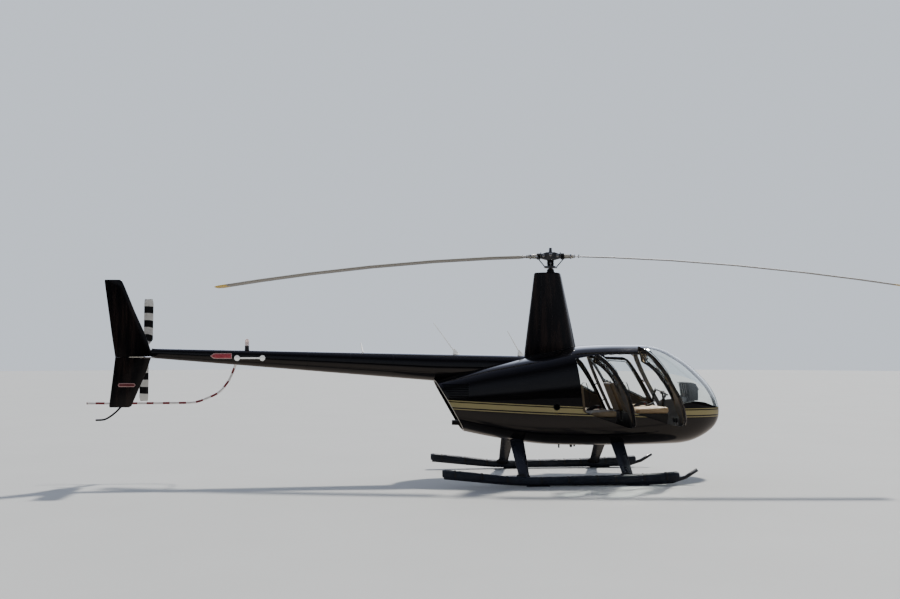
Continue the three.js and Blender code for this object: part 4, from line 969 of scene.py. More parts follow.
def make_doors():
    """Doors with their panes, swung shut for their finish and open again."""
    for hand, _ in SIDES:
        for name in ("front", "rear"):
            body = f"{hand}_{name}_door"
            shell = ("stripes", "trim", "black")
            door = (hand, name)
            fine_skin(
                f"{name}_door_{hand}", body, [0, 0.013], [0.014, 0.038], shell, door
            )
            pane = f"{name}_door_pane_{hand}"
            fine_skin(pane, body, [-0.022], [-0.016, 0.01], PANE, door)


def make_carried():
    """The CAD nodes whose shape is right as it stands."""
    rows = (
        ("rear_bulkhead", "airframe", "trim", "dark_plastic", 0.002),
        ("front_seat_base", "airframe", "trim", "dark_plastic", 0.004),
        ("rear_seat_base", "airframe", "trim", "dark_plastic", 0.004),
        ("skid_right", "airframe", "gear", "gear_black", 0),
        ("skid_left", "airframe", "gear", "gear_black", 0),
        ("engine", "airframe", "cast", "engine_grey", 0.004),
        ("cooling_fan", "airframe", "plastic", "dark_plastic", 0),
        ("exhaust", "airframe", "soot", "bare_steel", 0),
        ("upper_fin", "airframe", "streaked", "body_black", 0),
        ("lower_fin", "airframe", "streaked", "body_black", 0),
        ("stabiliser", "airframe", "black", "body_black", 0),
        ("tail_gearbox", "airframe", "plastic", "dark_plastic", 0),
        ("stub_aerial", "airframe", "aerial", "white_paint", 0),
        ("side_aerial", "airframe", "aerial", "white_paint", 0.001),
        ("rotor_mast", "main_rotor", "steel", "bare_steel", 0),
        ("swashplate", "main_rotor", "rotor", "rotor_grey", 0.001),
        ("rotor_hub", "main_rotor", "rotor", "rotor_grey", 0.002),
    )
    for node, body, material, slot, bevel in rows:
        carry_over(node, body, material, bevel)


# The tail rotor's shaft, and how far its blades reach.
TAIL_SHAFT = Vector((-5.980, 0.330, 1.876))
TAIL_TIP = 0.750


def radial(point):
    return math.hypot(point.x, point.y)


def make_blades():
    """Both rotors' blades, banded or tipped by their distance from the shaft."""
    for end in ("fore", "aft"):
        carry_over(f"rotor_blade_{end}", "main_rotor", "blade", measure=radial)

    def from_tip(point):
        return TAIL_TIP - math.hypot(point.x - TAIL_SHAFT.x, point.z - TAIL_SHAFT.z)

    bm = merged_copy("tail_rotor")
    bmesh.ops.dissolve_limit(bm, angle_limit=0.002, verts=bm.verts, edges=bm.edges)
    bmesh.ops.triangulate(bm, faces=bm.faces)
    mesh = mesh_of(bm, 32)
    store_along(mesh, from_tip)
    publish(mesh, "tail_rotor_finish", "tail_rotor_body", ["tail_blade"], ("tail_rotor",))


# The guard's middle line, from the tailcone to its aft end.
GUARD_LINE = (
    (-4.628, 0.080, 1.722),
    (-4.640, 0.112, 1.705),
    (-4.672, 0.230, 1.655),
    (-4.715, 0.330, 1.572),
    (-4.780, 0.350, 1.425),
    (-4.916, 0.350, 1.257),
    (-5.091, 0.350, 1.165),
    (-5.273, 0.350, 1.104),
    (-5.522, 0.350, 1.095),
    (-5.986, 0.350, 1.092),
    (-6.400, 0.350, 1.092),
    (-6.823, 0.350, 1.094),
)


def make_guard():
    """The tail rotor guard, banded along its tube."""
    path = [Vector(GUARD_LINE[0])]
    for start, end in zip(GUARD_LINE, GUARD_LINE[1:]):
        path += [Vector(start).lerp(Vector(end), k / 12) for k in range(1, 13)]
    run = [0.0]
    for start, end in zip(path, path[1:]):
        run.append(run[-1] + (end - start).length)

    def along(point):
        nearest = min(range(len(path)), key=lambda k: (path[k] - point).length_squared)
        return run[-1] - run[nearest]

    build = Build().put("guard", pipe, smooth_line(GUARD_LINE, 10), 0.0172, 14, False)
    build.put("guard", rod, (-6.230, 0.350, 1.092), (-6.230, -0.036, 1.110), 0.010, 0.010, 14)
    build.finish(
        "rotor_guard_finish", "airframe", "guard_stripes", ("rotor_guard",), 40, None, along
    )


# Mast fairing: z, x of the leading and trailing edges, and half width.
FAIRING_SECTIONS = (
    (1.560, 0.422, -0.430, 0.200),
    (1.918, 0.375, -0.391, 0.178),
    (2.200, 0.321, -0.355, 0.152),
    (2.600, 0.239, -0.303, 0.116),
    (3.035, 0.150, -0.248, 0.078),
)
# Half outline of the fairing: share of the chord, and share of the half width.
FAIRING_SHAPE = (
    (0, 0), (0.03, 0.42), (0.1, 0.74), (0.22, 0.95), (0.36, 1), (0.6, 0.86), (0.82, 0.56),
    (0.97, 0.2), (1, 0),
)


def smooth_line(points, steps):
    """Points along a smooth curve through the given ones."""
    points = [Vector(point) for point in points]
    padded = [2 * points[0] - points[1], *points, 2 * points[-1] - points[-2]]
    line = []
    for a, b, c, d in zip(padded, padded[1:], padded[2:], padded[3:]):
        for k in range(steps):
            t = k / steps
            line.append(
                0.5 * (2 * b + (c - a) * t + (2 * a - 5 * b + 4 * c - d) * t**2
                       + (3 * b - a - 3 * c + d) * t**3)
            )
    line.append(points[-1])
    return line


def fairing_point(station, z, side):
    """A point of the fairing's side at a station along its chord and at a height."""
    rows = np.array(FAIRING_SECTIONS)
    lead, trail, half = (np.interp(z, rows[:, 0], rows[:, column]) for column in (1, 2, 3))
    share, width = station
    return Vector((lead - share * (lead - trail), side * width * half, z))


def fairing_foot(station, side):
    """The height at which the fairing's side meets the body."""
    low, high = 1.5, 2.1
    for _ in range(24):
        middle = (low + high) / 2
        level, _ = body_level(np.array([fairing_point(station, middle, side)]), -0.001)
        low, high = (middle, high) if level[0] < 1 else (low, middle)
    return high


def fairing_width(share):
    """How wide the fairing is at a share of its chord, for a half width of one."""
    return np.interp(share, [row[0] for row in FAIRING_SHAPE], [row[1] for row in FAIRING_SHAPE])


def make_mast_fairing():
    """The tall faired mast cover, with its seams, its foot strip and the boot at its top."""
    right = smooth_line([(x, width, 0) for x, width in FAIRING_SHAPE], 5)
    stations = [(p.x, max(0.0, p.y), -1) for p in right]
    stations += [(p.x, max(0.0, p.y), 1) for p in reversed(right[1:-1])]
    feet = [fairing_foot((s, w), side) for s, w, side in stations]
    top = FAIRING_SECTIONS[-1][0]
    rings = []
    for k in range(25):
        t = k / 24
        rings.append(
            [fairing_point((s, w), foot + t * (top - 0.02 - foot), side)
             for (s, w, side), foot in zip(stations, feet)]
        )
    middle = Vector((-0.04, 0, 0))
    for height, shrink in ((top - 0.012, 0.985), (top - 0.004, 0.95), (top, 0.88)):
        ring = [middle + (fairing_point((s, w), top, side) - middle) * shrink for s, w, side in stations]
        for point in ring:
            point.z = height
        rings.append(ring)
    build = Build().put("streaked", loft, rings)
    seams = [(share, fairing_width(share)) for share in (0.16, 0.47, 0.74)]
    for station in seams:
        for side in (-1, 1):
            foot = fairing_foot(station, side)
            heights = [foot + 0.02 + t * (top - foot - 0.06) for t in np.linspace(0, 1, 12)]
            line = [fairing_point(station, height, side) for height in heights]
            build.put("plastic", pipe, line, 0.0028, 8)
    around = zip(stations, feet)
    ring = [fairing_point((s, w * 1.01), foot + 0.006, side) for (s, w, side), foot in around]
    build.put("rubber", hoop, ring, 0.0045, 8)
    for side in (-1, 1):
        for share, width in seams:
            for t in np.linspace(0.06, 0.96, 13):
                at = fairing_point((share + 0.025, width), 1.95 + t * (top - 1.95), side)
                inner, outer = Vector((0, -side * 0.001, 0)), Vector((0, side * 0.003, 0))
                build.put("plastic", rod, at + inner, at + outer, 0.004, 0.003, 8)
    boot = [
        (0.036, 0.0), (0.060, 0.0), (0.062, 0.012), (0.050, 0.020), (0.058, 0.030), (0.048, 0.040),
        (0.054, 0.050), (0.036, 0.058),
    ]
    build.lathed("rubber", boot, 0, 0, top - 0.002, 28)
    build.finish("mast_fairing_finish", "airframe", "body_black", ("mast_fairing",))


def noise_at(point, scale, seed):
    """Smooth noise from -1 to 1 at a place."""
    return noise.noise(Vector(point) * scale + Vector((seed, 2 * seed, -seed)))


def remeshed(bm, name, voxel):
    """An object whose mesh is the form remade of even quads."""
    mesh = bpy.data.meshes.new(name)
    bm.to_mesh(mesh)
    bm.free()
    form = bpy.data.objects.new(name, mesh)
    bpy.context.scene.collection.objects.link(form)
    remesh = form.modifiers.new("remesh", "REMESH")
    remesh.mode = "VOXEL"
    remesh.voxel_size = voxel
    freeze(form)
    return form


def freeze(form):
    """Applies what is live on a form, so that its mesh alone holds the shape."""
    graph = bpy.context.evaluated_depsgraph_get()
    made = bpy.data.meshes.new_from_object(form.evaluated_get(graph), depsgraph=graph)
    form.modifiers.clear()
    old, form.data = form.data, made
    bpy.data.meshes.remove(old)


# Where the lashings go round the floats, the floats' sections (x, z of the foot and of the top,
# half width), and how far out the skids stand.
LASHINGS = (-1.55, -1.18, -0.83, -0.36, 0.02, 0.42, 0.68, 1.08, 1.40)
FLOAT_SECTIONS = (
    (-1.728, 0.138, 0.244, 0.048),
    (-1.680, 0.118, 0.252, 0.068),
    (-1.200, 0.064, 0.200, 0.075),
    (-0.800, 0.026, 0.150, 0.076),
    (-0.560, 0.016, 0.132, 0.076),
    (0.700, 0.016, 0.152, 0.076),
    (1.300, 0.016, 0.178, 0.074),
    (1.560, 0.040, 0.192, 0.066),
    (1.590, 0.062, 0.172, 0.050),
)
SKID_Y = 1.090


def make_floats():
    """Packed float covers: coated cloth that sags and creases between its lashings."""
    for hand, side in SIDES:
        bm = merged_copy(f"float_{hand}")
        bmesh.ops.translate(bm, vec=-ORIGIN, verts=bm.verts)
        form = remeshed(bm, f"float_{hand}_form", 0.009)
        mesh = form.data
        bpy.data.objects.remove(form)
        normals = [vert.normal.copy() for vert in mesh.vertices]
        for vert, normal in zip(mesh.vertices, normals):
            place = vert.co
            lump = 0.5 + 0.5 * noise_at((place.x * 1.6, place.y * 4, place.z * 6), 1.7, side)
            fold = abs(noise_at((place.x * 1.1, place.y * 9, place.z * 12), 2.6, 3 + side))
            crease = max(0.0, 1 - fold / 0.16) ** 2
            lashing = min(abs(place.x - lash) for lash in LASHINGS)
            pinch = math.exp(-((lashing / 0.035) ** 2))
            depth = 0.002 + 0.010 * lump + 0.007 * crease + 0.006 * pinch
            vert.co = place - normal * depth
        build = Build().add(bmesh_of(mesh), "cloth")
        for lash in LASHINGS:
            build.add(lashing_band(lash, side), "plastic")
        build.finish(f"float_{hand}_finish", "airframe", "float_fabric", (f"float_{hand}",), 60)


def bmesh_of(mesh):
    """A bmesh of a mesh that is then no longer needed."""
    bm = bmesh.new()
    bm.from_mesh(mesh)
    bpy.data.meshes.remove(mesh)
    return bm


def float_outline(x, side, inset):
    """Points round the upper part of a float's section at a place along it."""
    rows = np.array(FLOAT_SECTIONS)
    foot, top, half = (np.interp(x, rows[:, 0], rows[:, column]) for column in (1, 2, 3))
    points = []
    for turn in np.radians(np.linspace(-20, 200, 22)):
        c, s = math.cos(turn), math.sin(turn)
        y = (half - inset) * math.copysign(abs(c) ** 0.7, c)
        z = ((top - foot) / 2 - inset) * math.copysign(abs(s) ** 0.7, s)
        points.append(Vector((x, side * SKID_Y + y, (foot + top) / 2 + z)))
    return points


def lashing_band(x, side):
    """A flat strap over a float cover."""
    inner = float_outline(x, side, 0.012)
    outer = float_outline(x, side, 0.0055)
    wide = Vector((0.013, 0, 0))
    rings = [[a - wide, b - wide, b + wide, a + wide] for a, b in zip(inner, outer)]
    return loft(rings)


# Pads: the places of the sewn channels across a seat, the seat's own middle, how far a pad
# starts inside its solid, how far the air may push it, and how deep the channels are.
CHANNELS = (-0.180, -0.120, -0.060, 0.0, 0.060, 0.120, 0.180)
PAD_MIDDLE = 0.305
PAD_MARGIN = 0.010
PAD_SWELL_CAP = 0.022
CHANNEL_DEPTH = 0.009


def sewn(place, ends, along):
    """How near a place is to a sewn line, from 0 to 1."""
    across = abs(place.y) - PAD_MIDDLE
    low, high = ends
    if not low < along < high:
        return 0.0
    near = min(abs(across - channel) for channel in CHANNELS)
    fade = min(1.0, (along - low) / 0.03, (high - along) / 0.03)
    return fade * math.exp(-((near / 0.0065) ** 2))


# The rear seat's back leans by this much for its height; its front face begins this far in.
REAR_BACK_LEAN = 54 / 485
REAR_BACK_FACE = 0.055


def make_pad(node, up, ends, leather_name, slim=0):
    """A seat cushion or back, swollen between its sewn channels, and mirrored for the other side."""
    bm = merged_copy(f"{node}_right")
    bmesh.ops.translate(bm, vec=-ORIGIN, verts=bm.verts)
    bmesh.ops.dissolve_limit(bm, angle_limit=0.01, verts=bm.verts, edges=bm.edges)
    low = Vector([min(v.co[k] for v in bm.verts) for k in range(3)])
    high = Vector([max(v.co[k] for v in bm.verts) for k in range(3)])
    round_edges(bm, 0.026, 4, 20)
    middle = (low + high) / 2
    for vert in bm.verts:
        for k in range(3):
            share = 1 - 2 * PAD_MARGIN / (high[k] - low[k])
            vert.co[k] = middle[k] + (vert.co[k] - middle[k]) * share
        if slim:
            held_x = low.x + REAR_BACK_FACE - REAR_BACK_LEAN * (vert.co.z - low.z)
            vert.co.x = held_x + (vert.co.x - held_x) * slim
        if up == "Z":
            vert.co.z = low.z + 0.001 + (vert.co.z - low.z - PAD_MARGIN)
    pad = remeshed(bm, node, 0.006)
    mesh = pad.data
    held = pad.vertex_groups.new(name="held")
    normals = [vert.normal.copy() for vert in mesh.vertices]
    for vert, normal in zip(mesh.vertices, normals):
        along = vert.co.x if up == "Z" else vert.co.z
        outward = normal.z if up == "Z" else normal.x
        line = sewn(vert.co, ends, along) if outward > 0.35 else 0.0
        rests = outward < -0.7 if up == "Z" else outward < -0.6
        if line > 0.8 or rests:
            held.add([vert.index], 1.0, "REPLACE")
        vert.co -= normal * (CHANNEL_DEPTH * line)
    swell(pad, held.name, mesh)
    mesh = pad.data
    bpy.data.objects.remove(pad)
    for vert in mesh.vertices:
        for k in range(3):
            vert.co[k] = min(max(vert.co[k], low[k] + 0.0005), high[k] - 0.0005)
    for hand, side in SIDES:
        bm = bmesh.new()
        bm.from_mesh(mesh)
        if side > 0:
            bmesh.ops.scale(bm, vec=(1, -1, 1), verts=bm.verts)
            bmesh.ops.reverse_faces(bm, faces=bm.faces)
        build = Build().add(bm, leather_name)
        piece = build.finish(f"{node}_{hand}_pad", "airframe", "tan_leather", (f"{node}_{hand}",), 60)


def swell(pad, held, start):
    """Fills a cover with air, holds its sewn lines, and keeps the shape it takes."""
    before = [vert.co.copy() for vert in start.vertices]
    cloth = pad.modifiers.new("cloth", "CLOTH")
    cloth.settings.quality = 5
    cloth.settings.mass = 0.3
    cloth.settings.tension_stiffness = 12
    cloth.settings.compression_stiffness = 12
    cloth.settings.shear_stiffness = 5
    cloth.settings.bending_stiffness = 0.5
    cloth.settings.use_pressure = True
    cloth.settings.uniform_pressure_force = 4
    cloth.settings.vertex_group_mass = held
    cloth.settings.effector_weights.gravity = 0
    cloth.collision_settings.use_collision = False
    cloth.point_cache.frame_start = 1
    cloth.point_cache.frame_end = 20
    for step in range(1, 21):
        bpy.context.scene.frame_set(step)
    freeze(pad)
    bpy.context.scene.frame_set(1)
    for vert, place in zip(pad.data.vertices, before):
        moved = vert.co - place
        if moved.length > PAD_SWELL_CAP:
            vert.co = place + moved * (PAD_SWELL_CAP / moved.length)


def make_pads():
    make_pad("front_cushion", "Z", (1.215, 1.600), "tan")
    # The seat backs and the rear cushion take the darker copies of the tan leather, painted shade.
    make_pad("front_seat_back", "X", (0.985, 1.355), "tan_in_shade")
    make_pad("rear_cushion", "Z", (0.500, 0.835), "rear_tan_in_shade")
    make_pad("rear_seat_back", "X", (0.935, 1.350), "tan_in_shade", 0.62)


# Instruments: across and height of each dial on the panel's face, and its radius.
DIALS = (
    *((y, 1.338, 0.036) for y in (-0.135, -0.045, 0.045, 0.135)),
    *((y, 1.252, 0.036) for y in (-0.135, -0.045, 0.045)),
    (0.135, 1.252, 0.030),
    *((y, 1.172, 0.024) for y in (-0.150, -0.090, 0.150)),
)
# The cabin floor's upper face, and the ends of the panel's sloped face in side view.
CABIN_FLOOR = 0.6203
FACE_FOOT, FACE_HEAD = (2.050, 1.120), (2.012, 1.392)


def panel_face(y, z):
    """A place on the panel's sloped face, and the way out of it towards the seats."""
    (x, low), (lean, high) = FACE_FOOT, FACE_HEAD
    slope = (lean - x) / (high - low)
    normal = Vector((-1, 0, slope)).normalized()
    return Vector((x + slope * (z - low), y, z)), normal


def make_panel():
    """The instrument panel: hooded head with dials, switches and a lower row of radios."""
    build = Build()
    foot, head = (1.965, CABIN_FLOOR), (2.034, 1.16)
    pedestal = (foot, (2.130, CABIN_FLOOR), (2.150, 0.900), (2.160, 1.16), head)
    build.put("plastic", side_form, pedestal, 0.125, 0.012)
    hood = (FACE_FOOT, (2.186, 1.120), (2.188, 1.285), (2.138, 1.380), (2.075, 1.394), (2.014, 1.388))
    build.put("plastic", side_form, hood, 0.203, 0.014)
    for y, z, radius in DIALS:
        at, out = panel_face(y, z)
        bezel = (
            (radius + 0.004, -0.002), (radius + 0.005, 0.005), (radius + 0.001, 0.008),
            (radius - 0.003, 0.006), (radius - 0.004, 0.001),
        )
        build.put("rubber", turned, bezel, at, at + out, 28)
        build.put(
            "dial", turned,
            ((0.0, 0.0015), (radius - 0.002, 0.0015), (radius - 0.002, -0.001), (0.0, -0.001)), at,
            at + out, 24,
        )
        across, up = Vector((0, 1, 0)), out.cross(Vector((0, 1, 0)))
        for k in range(12):
            turn = 2 * math.pi * k / 12
            way = across * math.cos(turn) + up * math.sin(turn)
            mark = at + out * 0.0022 + way * (radius - 0.009)
            build.put("white", rod, mark, mark + way * 0.0045, 0.0007, 0.0007, 6)
        point = math.radians(70 + 97 * (y + z))
        way = across * math.cos(point) + up * math.sin(point)
        build.put(
            "white", rod, at + out * 0.003, at + out * 0.003 + way * (radius * 0.72), 0.0012, 0.0005, 6
        )
        build.put("plastic", turned, ((0.0, 0.0045), (0.003, 0.004), (0.003, 0.001)), at, at + out, 12)
    for k in range(6):
        at, out = panel_face(-0.03 + 0.028 * k, 1.150)
        build.put("steel", rod, at, at + out * 0.012, 0.0045, 0.0035, 10)
    for k, z in enumerate((1.08, 1.03, 0.98, 0.93)):
        x = foot[0] + (head[0] - foot[0]) * (z - foot[1]) / (head[1] - foot[1])
        build.put("rubber", block, (x - 0.010, -0.085, z - 0.02), (x + 0.02, 0.085, z + 0.02), 0.003)
        build.put("dial", block, (x - 0.0115, -0.04, z - 0.010), (x - 0.009, 0.04, z + 0.010))
        for y in (-0.066, 0.066):
            build.put("plastic", rod, (x - 0.008, y, z), (x - 0.022, y, z), 0.009, 0.008, 14, 0.001)
    build.put(
        "rubber", side_form,
        ((2.000, 1.386), (2.145, 1.372), (2.195, 1.285), (2.190, 1.278), (2.14, 1.364), (2.000, 1.378)),
        0.214, 0.003,
    )
    build.finish("instrument_panel_finish", "airframe", "dark_plastic", ("instrument_panel",))


def side_form(profile, half, bevel):
    """A side view outline in X and Z carried across both ways from the middle."""
    move = Matrix.Translation((0, half, 0)) @ Matrix.Rotation(math.radians(90), 4, "X")
    bm = sheet(profile, 2 * half)
    bmesh.ops.transform(bm, matrix=move, verts=bm.verts)
    bmesh.ops.recalc_face_normals(bm, faces=bm.faces)
    return round_edges(bm, bevel, 3, 30)


def make_beacon():
    """Beacon on a black foot behind the aerials: a white bulb with a painted glow under a smoky lens."""
    x = -4.483
    build = Build()
    foot = (
        (0.0, 0.0), (0.036, 0.0), (0.035, 0.012), (0.031, 0.030), (0.030, 0.066), (0.033, 0.070),
        (0.033, 0.080), (0.0, 0.082),
    )
    build.lathed("plastic", foot, x, 0, 1.858, 28)
    build.lathed(
        "steel", ((0.033, 0.0), (0.0345, 0.003), (0.0345, 0.006), (0.033, 0.009)), x, 0, 1.930, 28
    )
    lens = ((0.028, 0.0), (0.029, 0.008), (0.028, 0.070), (0.024, 0.088), (0.014, 0.096), (0.0, 0.098))
    build.lathed("smoky", lens, x, 0, 1.938, 28)
    bulb = (
        (0.0, 0.0), (0.010, 0.0), (0.010, 0.026), (0.023, 0.034), (0.025, 0.052), (0.020, 0.062),
        (0.0, 0.068),
    )
    # The bulb takes the aerial white with its painted glow.
    build.lathed("aerial", bulb, x, 0, 1.945, 20)
    build.finish("beacon_finish", "airframe", "clear_pane", ("beacon",))


def make_lamps():
    """Two landing lamps in the nose: reflector, lens and rim."""
    build = Build()
    for _, side in SIDES:
        y, z = side * 0.080, 0.800
        bowl = (
            (0.0, 0.0), (0.012, 0.002), (0.030, 0.018), (0.041, 0.040), (0.046, 0.062), (0.0485, 0.064),
            (0.0485, -0.03), (0.0, -0.03),
        )
        build.put("steel", turned, bowl, (2.410, y, z), (3, y, z), 32)
        build.put(
            "lamp", turned, ((0.0, 0.0), (0.008, 0.004), (0.009, 0.014), (0.005, 0.022), (0.0, 0.024)),
            (2.412, y, z), (3, y, z), 14,
        )
        build.put(
            "glass", turned,
            ((0.0, 0.004), (0.03, 0.002), (0.046, -0.003), (0.046, -0.006), (0.0, -0.002)), (2.474, y, z),
            (3, y, z), 32,
        )
    build.across("gear", 2.380, 0.8, -0.08, 0.08, 0.012, 0.012, 14)
    build.finish("landing_lamps_finish", "airframe", "clear_pane", ("landing_lamps",))


# Window outlines in side view: place along the body and height.
WINDOWS = {
    "front": (
        (1.350, 1.742), (1.310, 1.752), (0.795, 1.748), (0.775, 1.735), (0.925, 1.390),
        (0.950, 1.362), (1.580, 1.122), (1.625, 1.120), (1.640, 1.140),
    ),
    "rear": (
        (0.588, 1.735), (0.560, 1.740), (0.345, 1.702), (0.333, 1.685), (0.362, 1.440),
        (0.378, 1.418), (0.800, 1.222), (0.835, 1.225), (0.836, 1.245),
    ),
}
CARDS = {
    "front": (
        (1.099, 1.000), (1.215, 0.975), (1.505, 0.882), (1.672, 0.833), (1.800, 0.818),
        (1.822, 0.850), (1.700, 1.078), (1.640, 1.084), (1.570, 1.092), (0.985, 1.314), (0.962, 1.308),
    ),
    "rear": (
        (0.402, 1.040), (0.620, 0.958), (1.000, 0.828), (1.020, 0.850), (0.880, 1.180),
        (0.815, 1.192), (0.405, 1.384), (0.383, 1.370),
    ),
}
# Inner handles: the place of each one's pivot on the door card.
HANDLES = {"front": (1.060, 1.235), "rear": (0.470, 1.300)}


def spaced(points, step):
    """Points at even steps along a closed outline."""
    line = []
    for start, end in zip(points, points[1:] + points[:1]):
        start, end = Vector(start), Vector(end)
        count = max(1, round((end - start).length / step))
        line += [tuple(start.lerp(end, k / count)) for k in range(count)]
    return line


def draped(outline, side, base, thickness, longest=0.06):
    """A plate that follows the body's side, from a depth under it inwards by a thickness."""
    bm = sheet(outline, thickness)
    split_long_edges(bm, longest, 4)
    spots = [(vert.co.x, vert.co.y) for vert in bm.verts]
    lifts = [base - vert.co.z for vert in bm.verts]
    for vert, place in zip(bm.verts, body_sides(spots, side, lifts)):
        vert.co = place
    bmesh.ops.recalc_face_normals(bm, faces=bm.faces)
    return bm


def strap(points, wide, thick):
    """A flat strap along points: "wide" is the vector across it, "thick" the one through it."""
    wide, thick = Vector(wide) / 2, Vector(thick) / 2
    rings = []
    for point in points:
        p = Vector(point)
        rings.append([p - wide - thick, p + wide - thick, p + wide + thick, p - wide + thick])
    return loft(rings)


def make_door_trim():
    """On every door: rubber round its pane, a leather card, a handle and its plate."""
    for hand, side in SIDES:
        for name in ("front", "rear"):
            move = Matrix.Translation(-ORIGIN) @ closed_place((hand, name)).inverted()
            build = Build()
            outline = spaced(WINDOWS[name], 0.022)
            for lift, radius in ((0.0015, 0.0055), (-0.0395, 0.0065)):
                line = body_sides(outline, side, lift)
                build.put("rubber", hoop, line, radius, 8)
            build.put("card", draped, CARDS[name], side, -0.0385, 0.005)
            edge = body_sides(spaced(CARDS[name], 0.03), side, -0.0435)
            # The welt takes the darker copy of the tan leather, painted shade.
            build.put("tan_in_shade", hoop, edge, 0.0032, 6)
            x, z = HANDLES[name]
            plate = (
                (x - 0.035, z - 0.020), (x + 0.035, z - 0.020), (x + 0.035, z + 0.020),
                (x - 0.035, z + 0.020),
            )
            build.put("steel", draped, plate, side, -0.0435, 0.004, 0.03)
            pivot, tip = body_sides([(x + 0.018, z), (x - 0.062, z + 0.004)], side, -0.066)
            base = body_sides([(x + 0.018, z)], side, -0.045)[0]
            build.put("steel", rod, base, pivot, 0.010, 0.010, 14, 0.001)
            build.put("bright", rod, pivot, tip, 0.009, 0.006, 12, 0.001)
            build.finish(f"{name}_door_trim_{hand}", f"{hand}_{name}_door", "dark_plastic", (), 40, move)


# Half outline of the stick's grip: radius and height.
GRIP = (
    (0.0, 0.0), (0.013, 0.001), (0.018, 0.012), (0.016, 0.030), (0.019, 0.050),
    (0.017, 0.075), (0.021, 0.096), (0.023, 0.115), (0.018, 0.128), (0.0, 0.131),
)


def make_cyclic():
    """Cyclic stick: boot, post, a cross bar that tips a little, and a grip hung at each end."""
    build = Build()
    foot, head = Vector((1.766, 0, CABIN_FLOOR)), Vector((1.700, 0, 1.238))
    boot = (
        (0.0, 0.0), (0.058, 0.0), (0.060, 0.006), (0.044, 0.018), (0.050, 0.026), (0.034, 0.040),
        (0.040, 0.048), (0.024, 0.062), (0.0, 0.064),
    )
    build.put("rubber", turned, boot, foot, head, 24)
    build.put("plastic", rod, foot, head, 0.017, 0.014, 18)
    build.put(
        "plastic", rod, head - Vector((0.03, 0, 0)), head + Vector((0.03, 0, 0)), 0.026, 0.024, 20, 0.003
    )
    tip = Matrix.Translation(head) @ Matrix.Rotation(math.radians(6), 4, "X") @ Matrix.Translation(-head)
    bar = rod((1.700, -0.255, 1.238), (1.700, 0.255, 1.238), 0.012, 0.012, 16, 0.002)
    build.add(bar, "plastic", tip)
    for side in (-1, 1):
        y = side * 0.25
        drop = [(1.700, y, 1.238), (1.672, y, 1.242), (1.650, y, 1.222), (1.642, y, 1.165)]
        build.put("plastic", pipe, drop, 0.012, 10, move=tip)
        build.put("rubber", turned, GRIP, (1.630, y, 1.062), (1.642, y, 1.190), 20, move=tip)
        build.put("plastic", block, (1.650, y - 0.014, 1.196), (1.676, y + 0.014, 1.250), 0.006, move=tip)
        build.put("plastic", rod, (1.662, y, 1.248), (1.666, y, 1.272), 0.008, 0.006, 12, 0.001, move=tip)
        build.put("plastic", rod, (1.622, y, 1.165), (1.610, y, 1.168), 0.007, 0.006, 10, move=tip)
    build.finish("cyclic_stick_finish", "airframe", "dark_plastic", ("cyclic_stick",))


def make_cabin_fittings():
    """Pedals, collective lever, mats, belts and the small dark tunnel between the seats."""
    build = Build()
    for y in (-0.330, -0.205, 0.205, 0.330):
        build.put(
            "steel", pipe, [(2.050, y, 0.640), (2.010, y, 0.690), (1.990, y, 0.760), (1.988, y, 0.800)],
            0.009, 10,
        )
        build.put("rubber", block, (1.976, y - 0.038, 0.770), (1.986, y + 0.038, 0.838), 0.003)
        for k in range(4):
            z = 0.780 + 0.015 * k
            build.put("rubber", block, (1.972, y - 0.034, z), (1.977, y + 0.034, z + 0.006), 0.001)
    build.across("steel", 2.050, 0.642, -0.36, -0.16, 0.012, 0.012, 14)
    build.across("steel", 2.050, 0.642, 0.16, 0.36, 0.012, 0.012, 14)
    build.put(
        "plastic", pipe,
        [(1.120, -0.024, 0.900), (1.240, -0.024, 0.950), (1.400, -0.024, 1.020), (1.470, -0.024, 1.046)],
        0.011, 12,
    )
    grip = (
        (0.0, 0.0), (0.016, 0.002), (0.019, 0.014), (0.017, 0.060), (0.020, 0.110), (0.017, 0.126),
        (0.0, 0.130),
    )
    build.put("rubber", turned, grip, (1.440, -0.024, 1.036), (1.565, -0.024, 1.080), 20)
    build.put("card", block, (1.160, -0.055, 0.826), (1.600, 0.055, 0.850), 0.006)
    for side in (-1, 1):
        mat = [(1.685, 0.13), (1.930, 0.13), (1.930, 0.40), (1.850, 0.44), (1.685, 0.46)]
        outline = [(x, side * y) for x, y in mat]
        if side < 0:
            outline.reverse()
        bm = sheet(outline, 0.006, 0.0015)
        bmesh.ops.translate(bm, vec=(0, 0, CABIN_FLOOR + 0.0005), verts=bm.verts)
        build.add(bm, "rubber")
        for seat, top in ((1.215, 1.035), (0.505, 0.985)):
            y = side * 0.060
            build.put(
                "webbing", strap,
                [
                    (seat, y, top - 0.09), (seat + 0.05, y, top - 0.02), (seat + 0.13, y, top + 0.03),
                    (seat + 0.17, y, top + 0.035),
                ],
                (0, 0.0, 0.046), (0, 0.003, 0),
            )
            build.put(
                "plastic", block, (seat + 0.165, y - 0.007, top + 0.012),
                (seat + 0.235, y + 0.007, top + 0.062), 0.004,
            )
            build.put(
                "placard_dark", block, (seat + 0.180, y - 0.009, top + 0.026),
                (seat + 0.205, y + 0.009, top + 0.048), 0.002,
            )
    build.finish("cabin_fittings", "airframe", "dark_plastic")


